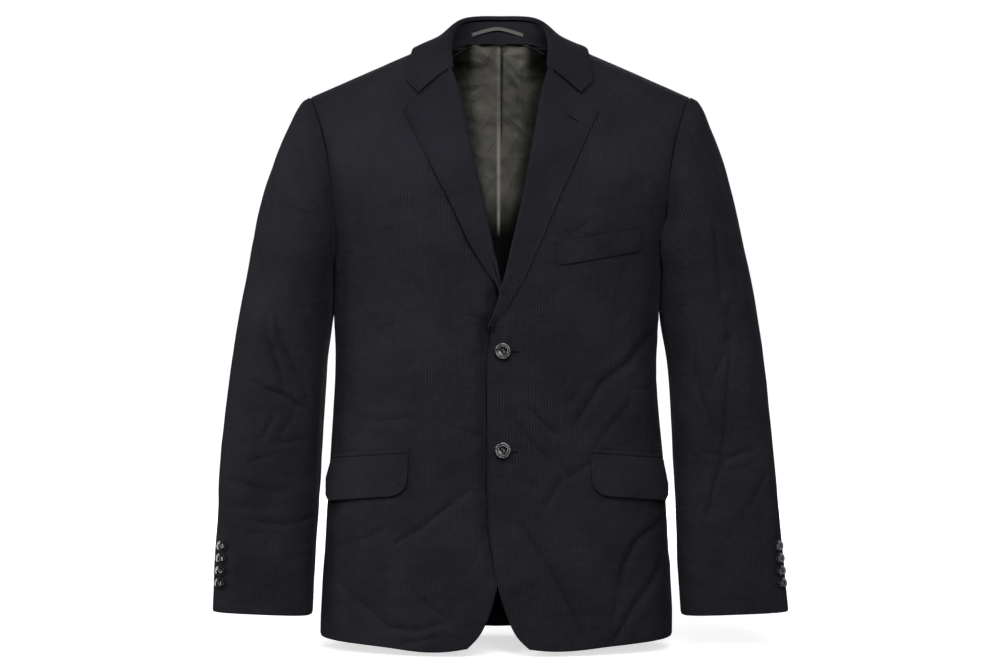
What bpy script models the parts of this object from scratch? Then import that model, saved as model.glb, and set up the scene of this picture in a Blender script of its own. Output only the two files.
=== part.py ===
"""A man's two-button blazer, hollow and filled out as it is when worn.

Metres, +Z up. The wearer faces -Y and the wearer's left side is +X. The origin lies midway
between the two points where the shoulder seams reach the neck, where the blazer hangs from
the wearer's shoulders. The body, the collar and the sleeves are curved sheets of cloth, each
with a wall of its own and a narrow gap at every seam.

Each half is worked out in outward places: x grows from the middle of the blazer towards the
half's own sleeve. The real X is that x times the half's side, 1 for the left and -1 for the
right.
"""
import math
from collections import namedtuple

import bmesh
import bpy
import numpy as np
from mathutils import Matrix, Vector

# Cloth, in metres
CLOTH = 0.0016
LINING = 0.0010
SEAM_INSET = 0.0002       # how far each rim is drawn in, so that seams have a narrow gap
SLEEVE_GAP = 0.0013       # room between the sleeve's head and the body
LAID_GAP = 0.0010         # room between a panel and a welt, jet or flap on it

# The torso: one row for each level. Widths and depths run from the middle of the blazer to
# the outer face of the cloth, and centre is how far the body has swung to one side.
Level = namedtuple("Level", "z centre width front back")
TORSO = (
    Level(-0.760, -0.0050, 0.2195, 0.118, 0.124),
    Level(-0.700, -0.0050, 0.2176, 0.116, 0.121),
    Level(-0.620, -0.0050, 0.2130, 0.113, 0.115),
    Level(-0.520, -0.0050, 0.2072, 0.109, 0.104),
    Level(-0.440, -0.0050, 0.2012, 0.106, 0.095),
    Level(-0.360, -0.0050, 0.2000, 0.107, 0.094),
    Level(-0.310, -0.0048, 0.2022, 0.112, 0.100),
    Level(-0.272, -0.0038, 0.2040, 0.117, 0.107),
    Level(-0.235, -0.0028, 0.2170, 0.120, 0.112),
    Level(-0.194, -0.0016, 0.2320, 0.121, 0.116),
    Level(-0.140, 0.0000, 0.2450, 0.116, 0.117),
    Level(-0.074, 0.0000, 0.2620, 0.103, 0.110),
    Level(0.000, 0.0000, 0.2800, 0.088, 0.100),
    Level(0.050, 0.0000, 0.2900, 0.082, 0.098),
)
FULLNESS = 2.5            # 2 would make the sections ellipses, more makes them boxier
SHOULDER_ROUND = 0.16     # how far below the shoulder line the body reaches its full depth
SHOULDER_SLOPE = 0.438
NECK_HALF = 0.0826
SHOULDER_TIP = 0.2345

# Outlines in the front view, in outward x and z
ARMHOLE_FRONT = ((0.2036, -0.222), (0.2055, -0.185), (0.2120, -0.140), (0.2225, -0.100))
ARMHOLE_BACK = ((0.2010, -0.205), (0.2020, -0.170), (0.2080, -0.130), (0.2200, -0.095))
SIDE_SEAM_FRONT = 70.0    # degrees round the section from the middle of the front
SIDE_SEAM_BACK = 116.0
ARMPIT_FRONT = -0.250
ARMPIT_LOW = -0.272
ARMPIT_BACK = -0.238
HEM_SIDE = -0.7365
HEM_FRONT_SEAM = -0.7375  # the hem where the side panel meets the front
HEM_BACK_SEAM = -0.7370   # and where it meets the back
HEM_BACK = -0.7430
HEM_BACK_MIDWAY = (0.110, -0.7405)

# The front's free edge from its rounded corner up to the lapel, and the hem outwards from it
CUTAWAY_LEFT = ((0.0218, -0.7308), (0.0134, -0.7164), (0.0044, -0.6900), (-0.0034, -0.6636),
                (-0.0077, -0.6372), (-0.0122, -0.5988), (-0.0142, -0.5650), (-0.0142, -0.4600),
                (-0.0142, -0.3800))
CUTAWAY_RIGHT = ((0.0254, -0.7291), (0.0166, -0.7128), (0.0105, -0.6980), (0.0040, -0.6696),
                 (-0.0040, -0.6350), (-0.0115, -0.5950), (-0.0140, -0.5650), (-0.0140, -0.4600),
                 (-0.0140, -0.3800))
HEM_LEFT = ((0.0326, -0.7416), (0.0480, -0.7448), (0.0720, -0.7460), (0.1367, -0.7412))
HEM_RIGHT = ((0.0377, -0.7416), (0.0500, -0.7445), (0.0820, -0.7472), (0.1400, -0.7418))

# The lapel's fold, its outer edge and its tip, and the end of the collar
FOLD_LEFT = ((-0.0142, -0.3560), (-0.0034, -0.3288), (0.0128, -0.2661), (0.0302, -0.1896),
             (0.0437, -0.1123), (0.0535, -0.0594), (0.0590, -0.0410))
FOLD_RIGHT = ((-0.0102, -0.3400), (-0.0060, -0.3230), (-0.0002, -0.2988), (0.0178, -0.2149),
              (0.0353, -0.1386), (0.0522, -0.0594), (0.0590, -0.0410))
LAPEL_EDGE_LEFT = ((-0.0058, -0.3516), (0.0044, -0.3384), (0.0170, -0.3180), (0.0302, -0.2929),
                   (0.0602, -0.2238), (0.0963, -0.1426), (0.1186, -0.0941))
LAPEL_EDGE_RIGHT = ((-0.0045, -0.3340), (0.0000, -0.3180), (0.0058, -0.3036),
                    (0.0154, -0.2892), (0.0262, -0.2724), (0.0598, -0.2028),
                    (0.0929, -0.1396), (0.1164, -0.0911))
NOTCH = (0.0963, -0.0740)
COLLAR_CORNER = (0.1125, -0.0563)

# The collar: its fold round the neck, its outer edge in plan, and the seam that it stands on
COLLAR_FOLD = ((0.0000, 0.054, 0.0385), (0.0220, 0.049, 0.0380), (0.0420, 0.036, 0.0345),
               (0.0550, 0.016, 0.0255), (0.0605, -0.008, 0.0115), (0.0620, -0.034, -0.0080),
               (0.0600, -0.058, -0.0270))
COLLAR_EDGE_PLAN = ((0.000, 0.0700), (0.035, 0.0600), (0.066, 0.0500), (0.090, 0.0350),
                    (0.103, 0.0080), (0.108, -0.0250), (0.111, -0.0480))
NECK_BACK = ((0.0000, 0.0087), (0.0300, 0.0040), (0.0550, -0.0030), (0.0720, -0.0045))
NECK_FRONT = ((0.0800, -0.0120), (0.0730, -0.0260), (0.0650, -0.0390))

# Sleeves: one row for each ring, its outermost and its innermost point and its depth
Ring = namedtuple("Ring", "outer_z inner_z outer_left outer_right inner_left inner_right "
                          "front back")
SLEEVE = (
    Ring(-0.0755, -0.2790, 0.2480, 0.2470, 0.2016, 0.2080, -0.084, 0.080),
    Ring(-0.1010, -0.2850, 0.2600, 0.2620, 0.2018, 0.2084, -0.090, 0.087),
    Ring(-0.1400, -0.2930, 0.2755, 0.2790, 0.2020, 0.2086, -0.092, 0.090),
    Ring(-0.1960, -0.3050, 0.2913, 0.2963, 0.2020, 0.2088, -0.089, 0.088),
    Ring(-0.2600, -0.3240, 0.3045, 0.3110, 0.2018, 0.2092, -0.082, 0.080),
    Ring(-0.3250, -0.3540, 0.3170, 0.3230, 0.2040, 0.2128, -0.077, 0.071),
    Ring(-0.4000, -0.4140, 0.3270, 0.3325, 0.2100, 0.2165, -0.075, 0.060),
    Ring(-0.4750, -0.4820, 0.3345, 0.3420, 0.2140, 0.2200, -0.074, 0.047),
    Ring(-0.5600, -0.5640, 0.3425, 0.3460, 0.2170, 0.2240, -0.073, 0.031),
    Ring(-0.6400, -0.6440, 0.3500, 0.3520, 0.2200, 0.2290, -0.073, 0.014),
    Ring(-0.7035, -0.7085, 0.3555, 0.3540, 0.2240, 0.2320, -0.073, 0.002),
)
CUFF_BOXY = 3.2           # how square the pressed cuff's section is; 2 is an ellipse
SLEEVE_SEAM_FRONT = 0.42  # fraction of the way round, from the outside by the front
SLEEVE_SEAM_BACK = 0.70
SLEEVE_HEAD = 0.30        # how far down the sleeve the armhole's own shape fades out
SLEEVE_SQUARES = 0.35     # how far down it begins to turn from an oval to the cuff's shape

# The largest folds: real x and z of both ends, depth and half-width, and the face that
# each lies on, front or back. A fold is a soft trough between two low ridges.
Fold = namedtuple("Fold", "x1 z1 x2 z2 deep wide face")
BODY_FOLDS = (
    Fold(0.190, -0.370, 0.112, -0.435, 0.0034, 0.013, "front"),
    Fold(0.112, -0.435, 0.090, -0.480, 0.0024, 0.011, "front"),
    Fold(0.030, -0.600, 0.097, -0.715, 0.0030, 0.013, "front"),
    Fold(0.196, -0.592, 0.152, -0.648, 0.0030, 0.012, "front"),
    Fold(-0.122, -0.616, -0.050, -0.562, 0.0030, 0.012, "front"),
    Fold(-0.195, -0.620, -0.140, -0.600, 0.0028, 0.012, "front"),
    Fold(-0.182, -0.452, -0.100, -0.470, 0.0028, 0.013, "front"),
    Fold(-0.168, -0.688, -0.112, -0.722, 0.0026, 0.012, "front"),
    Fold(-0.150, -0.345, -0.020, -0.420, 0.0030, 0.015, "back"),
    Fold(0.155, -0.360, 0.030, -0.430, 0.0030, 0.015, "back"),
    Fold(0.165, -0.180, 0.110, -0.280, 0.0030, 0.016, "back"),
    Fold(-0.165, -0.180, -0.115, -0.270, 0.0030, 0.016, "back"),
    Fold(0.080, -0.560, 0.120, -0.700, 0.0026, 0.016, "back"),
    Fold(-0.070, -0.580, -0.100, -0.705, 0.0026, 0.016, "back"),
)
SLEEVE_FOLDS = (
    Fold(-0.284, -0.352, -0.250, -0.418, 0.0040, 0.011, "front"),
    Fold(-0.306, -0.421, -0.245, -0.455, 0.0042, 0.012, "front"),
    Fold(-0.296, -0.490, -0.238, -0.494, 0.0036, 0.011, "front"),
    Fold(-0.336, -0.542, -0.267, -0.555, 0.0030, 0.011, "front"),
    Fold(-0.306, -0.590, -0.236, -0.590, 0.0030, 0.011, "front"),
    Fold(0.278, -0.352, 0.260, -0.412, 0.0038, 0.011, "front"),
    Fold(0.277, -0.424, 0.272, -0.500, 0.0034, 0.011, "front"),
    Fold(0.262, -0.528, 0.314, -0.505, 0.0034, 0.011, "front"),
    Fold(0.304, -0.575, 0.327, -0.540, 0.0028, 0.011, "front"),
    Fold(0.236, -0.436, 0.258, -0.484, 0.0028, 0.010, "front"),
    Fold(-0.300, -0.430, -0.240, -0.400, 0.0040, 0.013, "back"),
    Fold(-0.320, -0.480, -0.250, -0.462, 0.0034, 0.012, "back"),
    Fold(0.300, -0.400, 0.236, -0.430, 0.0040, 0.013, "back"),
    Fold(0.320, -0.455, 0.252, -0.485, 0.0034, 0.012, "back"),
    Fold(0.292, -0.250, 0.240, -0.330, 0.0034, 0.014, "back"),
    Fold(-0.298, -0.250, -0.246, -0.330, 0.0034, 0.014, "back"),
)

# Pockets and buttons
WELT = ((0.0693, -0.2538), (0.1707, -0.2357), (0.1699, -0.2632), (0.0708, -0.2812))
FLAP_ANGLES_LEFT = (28.5, 84.0)
FLAP_ANGLES_RIGHT = (25.5, 84.0)
FLAP_TOP = (-0.5080, -0.5190)
FLAP_DROP = 0.0505
FLAP_FLARE = 0.0030       # how much lower it hangs at its outer end
FLAP_CORNER = 0.017
FLAP_LENGTH = 0.150
FLAP_COLUMNS = (0.0, 0.006, 0.022, 0.048, 0.08, 0.12, 0.24, 0.38, 0.52, 0.66, 0.80, 0.92, 1.0)
JET_HEIGHT = 0.0045
MOUTH = 0.0004            # the pocket's mouth, between the jet and the flap
BUTTON_X = 0.0038
BUTTON_LEVELS = {"upper": -0.384, "lower": -0.504}
BUTTON_RADIUS = 0.0096
BUTTON_THICK = 0.0038
CUFF_BUTTON_RADIUS = 0.0072
CUFF_BUTTON_THICK = 0.0030
CUFF_BUTTON_LEVELS = (-0.6230, -0.6382, -0.6534, -0.6686)
CUFF_BUTTON_SHARE_LEFT = 0.10  # fraction of the way round, from the outside by the front
CUFF_BUTTON_SHARE_RIGHT = 0.12
CUFF_BUTTON_TURN = np.array((0.0, -0.4, 0.0))
CUFF_BUTTON_OFF = 0.0012  # how far the back of a cuff button stands off the cloth
FRONT_BUTTON_OFF = 0.0020 # and of a front button, on its thread shank
FLAP_STAND = 0.0030       # how far the flap's lower edge swings out

# Collar and lining
COLLAR_CLEAR = 0.0036     # height of the collar's outer face above the cloth under it
COLLAR_SWELL = 0.0050     # how far the fall bellies out at the middle of the back
SWELL_LOSS = 0.6          # the share of that belly which is gone at the collar's ends
COLLAR_START = 0.0030     # height of the fold's lower end above the front
COLLAR_TUCK = 0.0026      # how far the fall's inner rim is turned down behind the fold
COLLAR_IN = 0.0020        # how far in behind the fold that rim lies
COLLAR_CREST = (-0.0012, 0.0006)   # out and up, the crest of the fold's turn
COLLAR_TURN = (0.0008, 0.0010)     # out and up, where the fall leaves the fold
STAND_END = 0.90          # how far along the collar the stand reaches
STAND_DROP = 0.0050       # how far below the fold the stand begins
STAND_FOOT_IN = 0.0045    # how far inside the neck seam its foot is
STAND_FOOT_UP = 0.0028    # and how far above it, but no higher than the next value
STAND_FOOT_TOP = 0.0040
LINING_OFF = 0.0020       # room between the back and its lining
LINING_TOP = 0.0060
LINING_FOOT = -0.7200
LINING_REACH = 0.80       # how far round the back it goes, as a share of the width
PLEAT_EDGE = 0.0042       # the pleat's edge, to the left of the middle
PLEAT_RISE = 0.0026
PLEAT_WIDTH = 0.014
LINING_SHOULDER = 0.012   # how far below the shoulder seam the lining ends
LOOP_CENTRE = -0.0033
LOOP_HALF = 0.0325
LOOP_ENDS = 0.0125        # height of its lower edge at both ends
LOOP_PEAK = 0.0220        # and at its middle
LOOP_WIDTH = 0.0050
LOOP_BOW = 0.0025         # how far its middle bows away from the stand
LOOP_OFF = 0.0012         # room between the loop's ends and the stand

# How finely each sheet is divided
LINING_ROWS = 15
LINING_COLUMNS = 6
COLLAR_STEPS = np.linspace(0, 1, 13)
BODY_ROWS = 15
CHEST_ROWS = 10
FRONT_COLUMNS = 12
SIDE_COLUMNS = 4
BACK_NECK_COLUMNS = 3
BACK_COLUMNS = 6
SLEEVE_ROWS = 24

UP = np.array((0.0, 0.0, 1.0))
LEFT, RIGHT = 1, -1
SIDE_NAME = {LEFT: "left", RIGHT: "right"}
FLAP_ANGLES = {LEFT: FLAP_ANGLES_LEFT, RIGHT: FLAP_ANGLES_RIGHT}


# ---------------------------------------------------------------- curves and patches

def through(places, values):
    """Return a smooth function that takes each value at its place."""
    places = np.asarray(places, float)
    values = np.asarray(values, float)
    slopes = np.gradient(values, places, axis=0)

    def at(place):
        place = min(max(place, places[0]), places[-1])
        i = min(max(int(np.searchsorted(places, place)) - 1, 0), len(places) - 2)
        span = places[i + 1] - places[i]
        t = (place - places[i]) / span
        start = (2 * t ** 3 - 3 * t ** 2 + 1) * values[i]
        start = start + (t ** 3 - 2 * t ** 2 + t) * span * slopes[i]
        end = (3 * t ** 2 - 2 * t ** 3) * values[i + 1]
        return start + end + (t ** 3 - t ** 2) * span * slopes[i + 1]

    return at


def curve(points):
    """Return a function of 0..1 that runs smoothly through the points."""
    points = np.asarray(points, float)
    steps = np.linalg.norm(np.diff(points, axis=0), axis=1)
    places = np.concatenate(([0.0], np.cumsum(steps))) / steps.sum()
    return through(places, points)


def straight(points):
    """Return a function of 0..1 that runs straight from each point to the next."""
    points = np.asarray(points, float)
    steps = np.linalg.norm(np.diff(points, axis=0), axis=1)
    places = np.concatenate(([0.0], np.cumsum(steps))) / steps.sum()
    return lambda t: np.array([np.interp(t, places, column) for column in points.T])


def coons(bottom, top, inner, outer):
    """Fill the patch between four rows of points, given as two rows and two columns."""
    rows, columns = len(inner), len(bottom)
    u = np.linspace(0, 1, columns)[None, :, None]
    v = np.linspace(0, 1, rows)[:, None, None]
    bottom, top = np.array(bottom)[None], np.array(top)[None]
    inner, outer = np.array(inner)[:, None], np.array(outer)[:, None]
    ruled = (1 - v) * bottom + v * top + (1 - u) * inner + u * outer
    low = (1 - u) * bottom[:, :1] + u * bottom[:, -1:]
    high = (1 - u) * top[:, :1] + u * top[:, -1:]
    return ruled - (1 - v) * low - v * high


def blend(low, high, value):
    """Rise smoothly from 0 at low to 1 at high."""
    t = min(max((value - low) / (high - low), 0.0), 1.0)
    return t * t * (3 - 2 * t)


# ---------------------------------------------------------------- the torso's surface

TORSO_AT = through([level.z for level in TORSO], TORSO)


def shoulder(x):
    """Height of the shoulder line."""
    return SHOULDER_SLOPE * (NECK_HALF - abs(x))


def closing(drop):
    """Share of its full depth that the body has at this drop below the shoulder line."""
    share = min(max(drop / SHOULDER_ROUND, 0.0), 1.0)
    return math.sqrt(1 - (1 - share) ** 2)


def depth(x, z, side, back):
    """How far the cloth's outer face stands before or behind the shoulder line."""
    level = Level(*TORSO_AT(z))
    across = abs(x - side * level.centre) / level.width
    full = level.back if back else level.front
    return full * closing(shoulder(x) - z) * max(1 - across ** FULLNESS, 0) ** (1 / FULLNESS)


def roof(x, y, side):
    """Height of the torso's surface above a place in plan."""
    z = shoulder(x)
    for _ in range(12):
        level = Level(*TORSO_AT(z))
        across = abs(x - side * level.centre) / level.width
        full = level.back if y > 0 else level.front
        full *= (1 - across ** FULLNESS) ** (1 / FULLNESS)
        share = min(abs(y) / full, 1.0)
        z = shoulder(x) - SHOULDER_ROUND * (1 - math.sqrt(1 - share ** 2))
    return z


def outside(x, y, z, side):
    """A measure that is 1 on the torso's surface and grows outwards."""
    level = Level(*TORSO_AT(z))
    full = (level.back if y > 0 else level.front) * closing(shoulder(x) - z)
    across = abs(x - side * level.centre) / level.width
    return across ** FULLNESS + (abs(y) / full) ** FULLNESS


def torso_normal(x, y, z, side):
    """Direction straight out of the torso's surface."""
    step = 1e-4
    if shoulder(x) - z < 0.4 * SHOULDER_ROUND:
        run = (roof(x + step, y, side) - roof(x - step, y, side)) / (2 * step)
        fall = (roof(x, y + step, side) - roof(x, y - step, side)) / (2 * step)
        normal = np.array((-run, -fall, 1.0))
    else:
        normal = np.array([
            outside(x + step, y, z, side) - outside(x - step, y, z, side),
            outside(x, y + step, z, side) - outside(x, y - step, z, side),
            outside(x, y, z + step, side) - outside(x, y, z - step, side)])
    return normal / np.linalg.norm(normal)


def fold_lift(x, z, folds, face):
    """How far the folds of a face move the cloth out at a real x and z."""
    lift = 0.0
    for fold in folds:
        if fold.face != face:
            continue
        start, end = np.array((fold.x1, fold.z1)), np.array((fold.x2, fold.z2))
        place, run = np.array((x, z)) - start, end - start
        along = min(max(place @ run / (run @ run), 0.0), 1.0)
        away = np.linalg.norm(place - along * run) / fold.wide
        ends = 0.45 + 0.55 * math.sin(math.pi * along)
        lift += fold.deep * ends * (0.5 * away ** 2 - 1) * math.exp(-away ** 2 / 2)
    return lift


def fold_grid(points, side, folds):
    """How far the folds move each point of a grid, which may face either way."""
    lifts = [[fold_lift(x * side, z, folds, "front" if y < middle else "back")
              * min(abs(y - middle) / 0.02, 1.0) for x, y, z in row]
             for row, middle in zip(points, points[:, :, 1].mean(axis=1))]
    return np.array(lifts)[:, :, None]


def on_torso(x, z, side, back=False, lift=0.0):
    """A point on the front or back of the torso, moved out by lift, and its normal."""
    y = depth(x, z, side, back) * (1 if back else -1)
    normal = torso_normal(x, y, z, side)
    lift += fold_lift(x * side, z, BODY_FOLDS, "back" if back else "front")
    return np.array((x, y, z)) + lift * normal, normal


def round_torso(angle, z, side, lift=0.0):
    """A point on the torso by its angle round the section, and its normal."""
    level = Level(*TORSO_AT(z))
    turn = math.radians(angle)
    x = side * level.centre + level.width * math.sin(turn) ** (2 / FULLNESS)
    share = abs(math.cos(turn)) ** (2 / FULLNESS) * closing(shoulder(x) - z)
    y = level.back * share if angle > 90 else -level.front * share
    normal = torso_normal(x, y, z, side)
    lift += fold_lift(x * side, z, BODY_FOLDS, "back" if angle > 90 else "front")
    return np.array((x, y, z)) + lift * normal, normal


def seam_place(angle, z, side):
    """Outward x and z of the torso's surface at an angle round the section."""
    level = Level(*TORSO_AT(z))
    share = math.sin(math.radians(angle)) ** (2 / FULLNESS)
    return np.array((side * level.centre + level.width * share, z))


# ---------------------------------------------------------------- solids

def material(name, colour, roughness):
    made = bpy.data.materials.new(name)
    made.use_nodes = True
    shader = made.node_tree.nodes["Principled BSDF"]
    shader.inputs["Base Color"].default_value = (*colour, 1.0)
    shader.inputs["Roughness"].default_value = roughness
    shader.inputs["Metallic"].default_value = 0.0
    return made


def add_object(name, mesh_data, colour):
    mesh = bpy.data.meshes.new(name)
    bmesh.ops.recalc_face_normals(mesh_data, faces=mesh_data.faces)
    mesh_data.to_mesh(mesh)
    mesh_data.free()
    mesh.materials.append(material(name, *colour))
    mesh.shade_smooth()
    mesh.set_sharp_from_angle(angle=math.radians(40))
    added = bpy.data.objects.new(name, mesh)
    bpy.context.scene.collection.objects.link(added)
    return added


def grid_normals(points, ring=False):
    """Normals of a grid of points, from its neighbours; ring closes its columns."""
    across = np.gradient(points, axis=1)
    if ring:
        across = (np.roll(points, -1, axis=1) - np.roll(points, 1, axis=1)) / 2
    normals = np.cross(across, np.gradient(points, axis=0))
    return normals / np.linalg.norm(normals, axis=2, keepdims=True)


def inset(points):
    """Draw the rim of a grid in by the seam's inset, so that neighbours stand apart."""
    drawn = points.copy()
    for rim, next_in in ((np.s_[0], np.s_[1]), (np.s_[-1], np.s_[-2]),
                         (np.s_[:, 0], np.s_[:, 1]), (np.s_[:, -1], np.s_[:, -2])):
        step = points[next_in] - points[rim]
        length = np.linalg.norm(step, axis=1, keepdims=True)
        drawn[rim] += step / length * SEAM_INSET
    return drawn


def wall(name, points, normals, side, colour, thickness=CLOTH):
    """Make a closed wall of cloth: points are its outer face, and it thickens inwards."""
    points = inset(points)
    inner = points - normals * thickness
    rows, columns = points.shape[:2]
    made = bmesh.new()
    scale = np.array((side, 1, 1))
    outer = [[made.verts.new(p * scale) for p in row] for row in points]
    inner = [[made.verts.new(p * scale) for p in row] for row in inner]
    for j in range(rows - 1):
        for i in range(columns - 1):
            for face in (outer, inner):
                made.faces.new((face[j][i], face[j][i + 1], face[j + 1][i + 1], face[j + 1][i]))
    for i in range(columns - 1):
        for j in (0, rows - 1):
            made.faces.new((outer[j][i], outer[j][i + 1], inner[j][i + 1], inner[j][i]))
    for j in range(rows - 1):
        for i in (0, columns - 1):
            made.faces.new((outer[j][i], outer[j + 1][i], inner[j + 1][i], inner[j][i]))
    return add_object(name, made, colour)


# ---------------------------------------------------------------- the body

SHELL = ((0.0159, 0.0150, 0.0203), 0.85)
SATIN = ((0.0480, 0.0467, 0.0409), 0.45)
GLOSS = ((0.0080, 0.0080, 0.0090), 0.25)

FOLD = {LEFT: FOLD_LEFT, RIGHT: FOLD_RIGHT}
LAPEL_EDGE = {LEFT: LAPEL_EDGE_LEFT, RIGHT: LAPEL_EDGE_RIGHT}
CUTAWAY = {LEFT: CUTAWAY_LEFT, RIGHT: CUTAWAY_RIGHT}
HEM = {LEFT: HEM_LEFT, RIGHT: HEM_RIGHT}
FOLD_CLEAR = 0.0032       # how far the front stops short of the lapel's fold
LAP = 0.0024              # how far the left front rises where it laps over the right
LAP_LAPEL = 0.0046        # and how much further over the right lapel's foot
LAP_FULL, LAP_ENDS = 0.020, 0.085             # from full to none, out from the middle
LAPEL_FOOT_AT, LAPEL_FOOT_SPREAD = -0.318, 0.040

# The lapel lies just off its front. Its fold stands higher, and its rim turns in behind.
LAPEL_FLAT = 0.0024
LAPEL_FOOT_HIGH = 0.0027
LAPEL_HIGH = {LEFT: 0.0050, RIGHT: 0.0046}
LAPEL_SOFT = 0.35         # the share of its length over which the fold rises to full height
LAPEL_RIM = (0.0012, -0.0022)      # out and up, the rim behind the fold
LAPEL_CREST = (-0.0012, 0.0004)    # out and up, the crest of the fold's turn
LAPEL_TURN = 0.0006       # how far out the lapel leaves the fold
LAPEL_ROWS = 15
LAPEL_COLUMNS = (0.0, 0.10, 0.28, 0.50, 0.75, 1.0)


def lap_lift(x, z, side):
    """How far a front stands off the torso's surface where it laps over the other."""
    if side == RIGHT:
        return 0.0
    near = 1 - blend(LAP_FULL, LAP_ENDS, x)
    over_lapel = math.exp(-((z - LAPEL_FOOT_AT) / LAPEL_FOOT_SPREAD) ** 2)
    return near * (LAP + LAP_LAPEL * over_lapel)


def chest_steps():
    """Places from armpit to shoulder, closer together as the cloth rounds over."""
    return 1 - (1 - np.linspace(0, 1, CHEST_ROWS)) ** 1.5


def body_steps():
    """Places from hem to armpit, closer together at the hem's round corners."""
    return np.linspace(0, 1, BODY_ROWS) ** 1.25


def side_levels(low, high):
    return low + (high - low) * body_steps()


def armhole(side, back):
    """Outward x and z of the armhole from the armpit's seam up to the shoulder's tip."""
    angle, start = (SIDE_SEAM_BACK, ARMPIT_BACK) if back else (SIDE_SEAM_FRONT, ARMPIT_FRONT)
    places = ARMHOLE_BACK if back else ARMHOLE_FRONT
    tip = (SHOULDER_TIP, shoulder(SHOULDER_TIP))
    path = curve((seam_place(angle, start, side), *places, tip))
    return [path(t) for t in chest_steps()]


def outer_edge(side, back, hem):
    """The side seam and the armhole above it, from the hem to the shoulder's tip."""
    angle, start = (SIDE_SEAM_BACK, ARMPIT_BACK) if back else (SIDE_SEAM_FRONT, ARMPIT_FRONT)
    seam = [seam_place(angle, z, side) for z in side_levels(hem, start)]
    return seam + armhole(side, back)[1:]


def split_curve(path, z):
    """The place along a rising curve where it reaches this height."""
    low, high = 0.0, 1.0
    for _ in range(40):
        middle = (low + high) / 2
        low, high = (middle, high) if path(middle)[1] < z else (low, middle)
    return low


def inner_steps(path, z):
    """Places along an inner edge that keep level with the side seam and the armhole."""
    split = split_curve(path, z)
    below = split * body_steps()
    above = split + (1 - split) * chest_steps()
    return [path(t) for t in np.concatenate((below, above[1:]))]


def sheet_on_torso(plan, side, back, lift=lambda x, z: 0.0):
    """Lay a patch of front-view places on the torso; returns points and normals."""
    placed = [[on_torso(x, z, side, back, lift(x, z)) for x, z in row] for row in plan]
    points = np.array([[point for point, _ in row] for row in placed])
    normals = np.array([[normal for _, normal in row] for row in placed])
    return points, normals


def spread(count, bend=60.0):
    """Places of columns, closer together towards the side, where the body turns away."""
    steps = np.linspace(0, math.radians(bend), count + 1)
    return np.sin(steps) / math.sin(math.radians(bend))


def front_inner_edge(side):
    """The front's free edge, the line just behind the lapel's fold, and the neck."""
    fold = [(x + FOLD_CLEAR, z) for x, z in FOLD[side][1:-1]]
    neck = NECK_FRONT[::-1]
    path = curve((*CUTAWAY[side], *fold, *neck, (NECK_HALF, 0.0)))
    return inner_steps(path, ARMPIT_FRONT)


def make_front(side):
    columns = spread(FRONT_COLUMNS)
    corner = seam_place(SIDE_SEAM_FRONT, HEM_FRONT_SEAM, side)
    hem = curve((CUTAWAY[side][0], *HEM[side], corner))
    tip = (SHOULDER_TIP, shoulder(SHOULDER_TIP))
    seam = straight(((NECK_HALF, 0.0), tip))
    plan = coons([hem(u) for u in columns], [seam(u) for u in columns],
                 front_inner_edge(side), outer_edge(side, False, HEM_FRONT_SEAM))
    points, normals = sheet_on_torso(plan, side, False, lambda x, z: lap_lift(x, z, side))
    wall("front_" + SIDE_NAME[side], points, normals, side, SHELL)


def back_neck(side):
    return curve((*NECK_BACK, (NECK_HALF, 0.0)))


def make_back(side):
    columns = spread(BACK_COLUMNS + BACK_NECK_COLUMNS)
    middle = [(side * Level(*TORSO_AT(z)).centre, z)
              for z in np.linspace(HEM_BACK, NECK_BACK[0][1], 30)]
    corner = seam_place(SIDE_SEAM_BACK, HEM_BACK_SEAM, side)
    hem = curve((middle[0], HEM_BACK_MIDWAY, corner))
    neck = back_neck(side)
    seam = straight(((NECK_HALF, 0.0), (SHOULDER_TIP, shoulder(SHOULDER_TIP))))
    top = [neck(u) for u in np.linspace(0, 1, BACK_NECK_COLUMNS + 1)]
    top += [seam(u) for u in np.linspace(0, 1, BACK_COLUMNS + 1)[1:]]
    plan = coons([hem(u) for u in columns], top,
                 inner_steps(curve(middle), ARMPIT_BACK),
                 outer_edge(side, True, HEM_BACK_SEAM))
    points, normals = sheet_on_torso(plan, side, True)
    wall("back_" + SIDE_NAME[side], points[:, ::-1], normals[:, ::-1], side, SHELL)


def armpit(side):
    """The side panel's top edge: angle and height from the front seam to the back seam."""
    path = curve(((SIDE_SEAM_FRONT, ARMPIT_FRONT * 1000), (90.0, ARMPIT_LOW * 1000),
                  (SIDE_SEAM_BACK, ARMPIT_BACK * 1000)))
    return [(path(t)[0], path(t)[1] / 1000) for t in np.linspace(0, 1, SIDE_COLUMNS + 1)]


def make_side_panel(side):
    top = armpit(side)
    angles = [angle for angle, _ in top]
    hems = np.interp(angles, (SIDE_SEAM_FRONT, 90.0, SIDE_SEAM_BACK),
                     (HEM_FRONT_SEAM, HEM_SIDE, HEM_BACK_SEAM))
    placed = [[round_torso(angle, hem + (top_z - hem) * t, side)
               for (angle, top_z), hem in zip(top, hems)]
              for t in body_steps()]
    points = np.array([[point for point, _ in row] for row in placed])
    normals = np.array([[normal for _, normal in row] for row in placed])
    wall("side_panel_" + SIDE_NAME[side], points, normals, side, SHELL)


# ---------------------------------------------------------------- the sleeves

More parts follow.
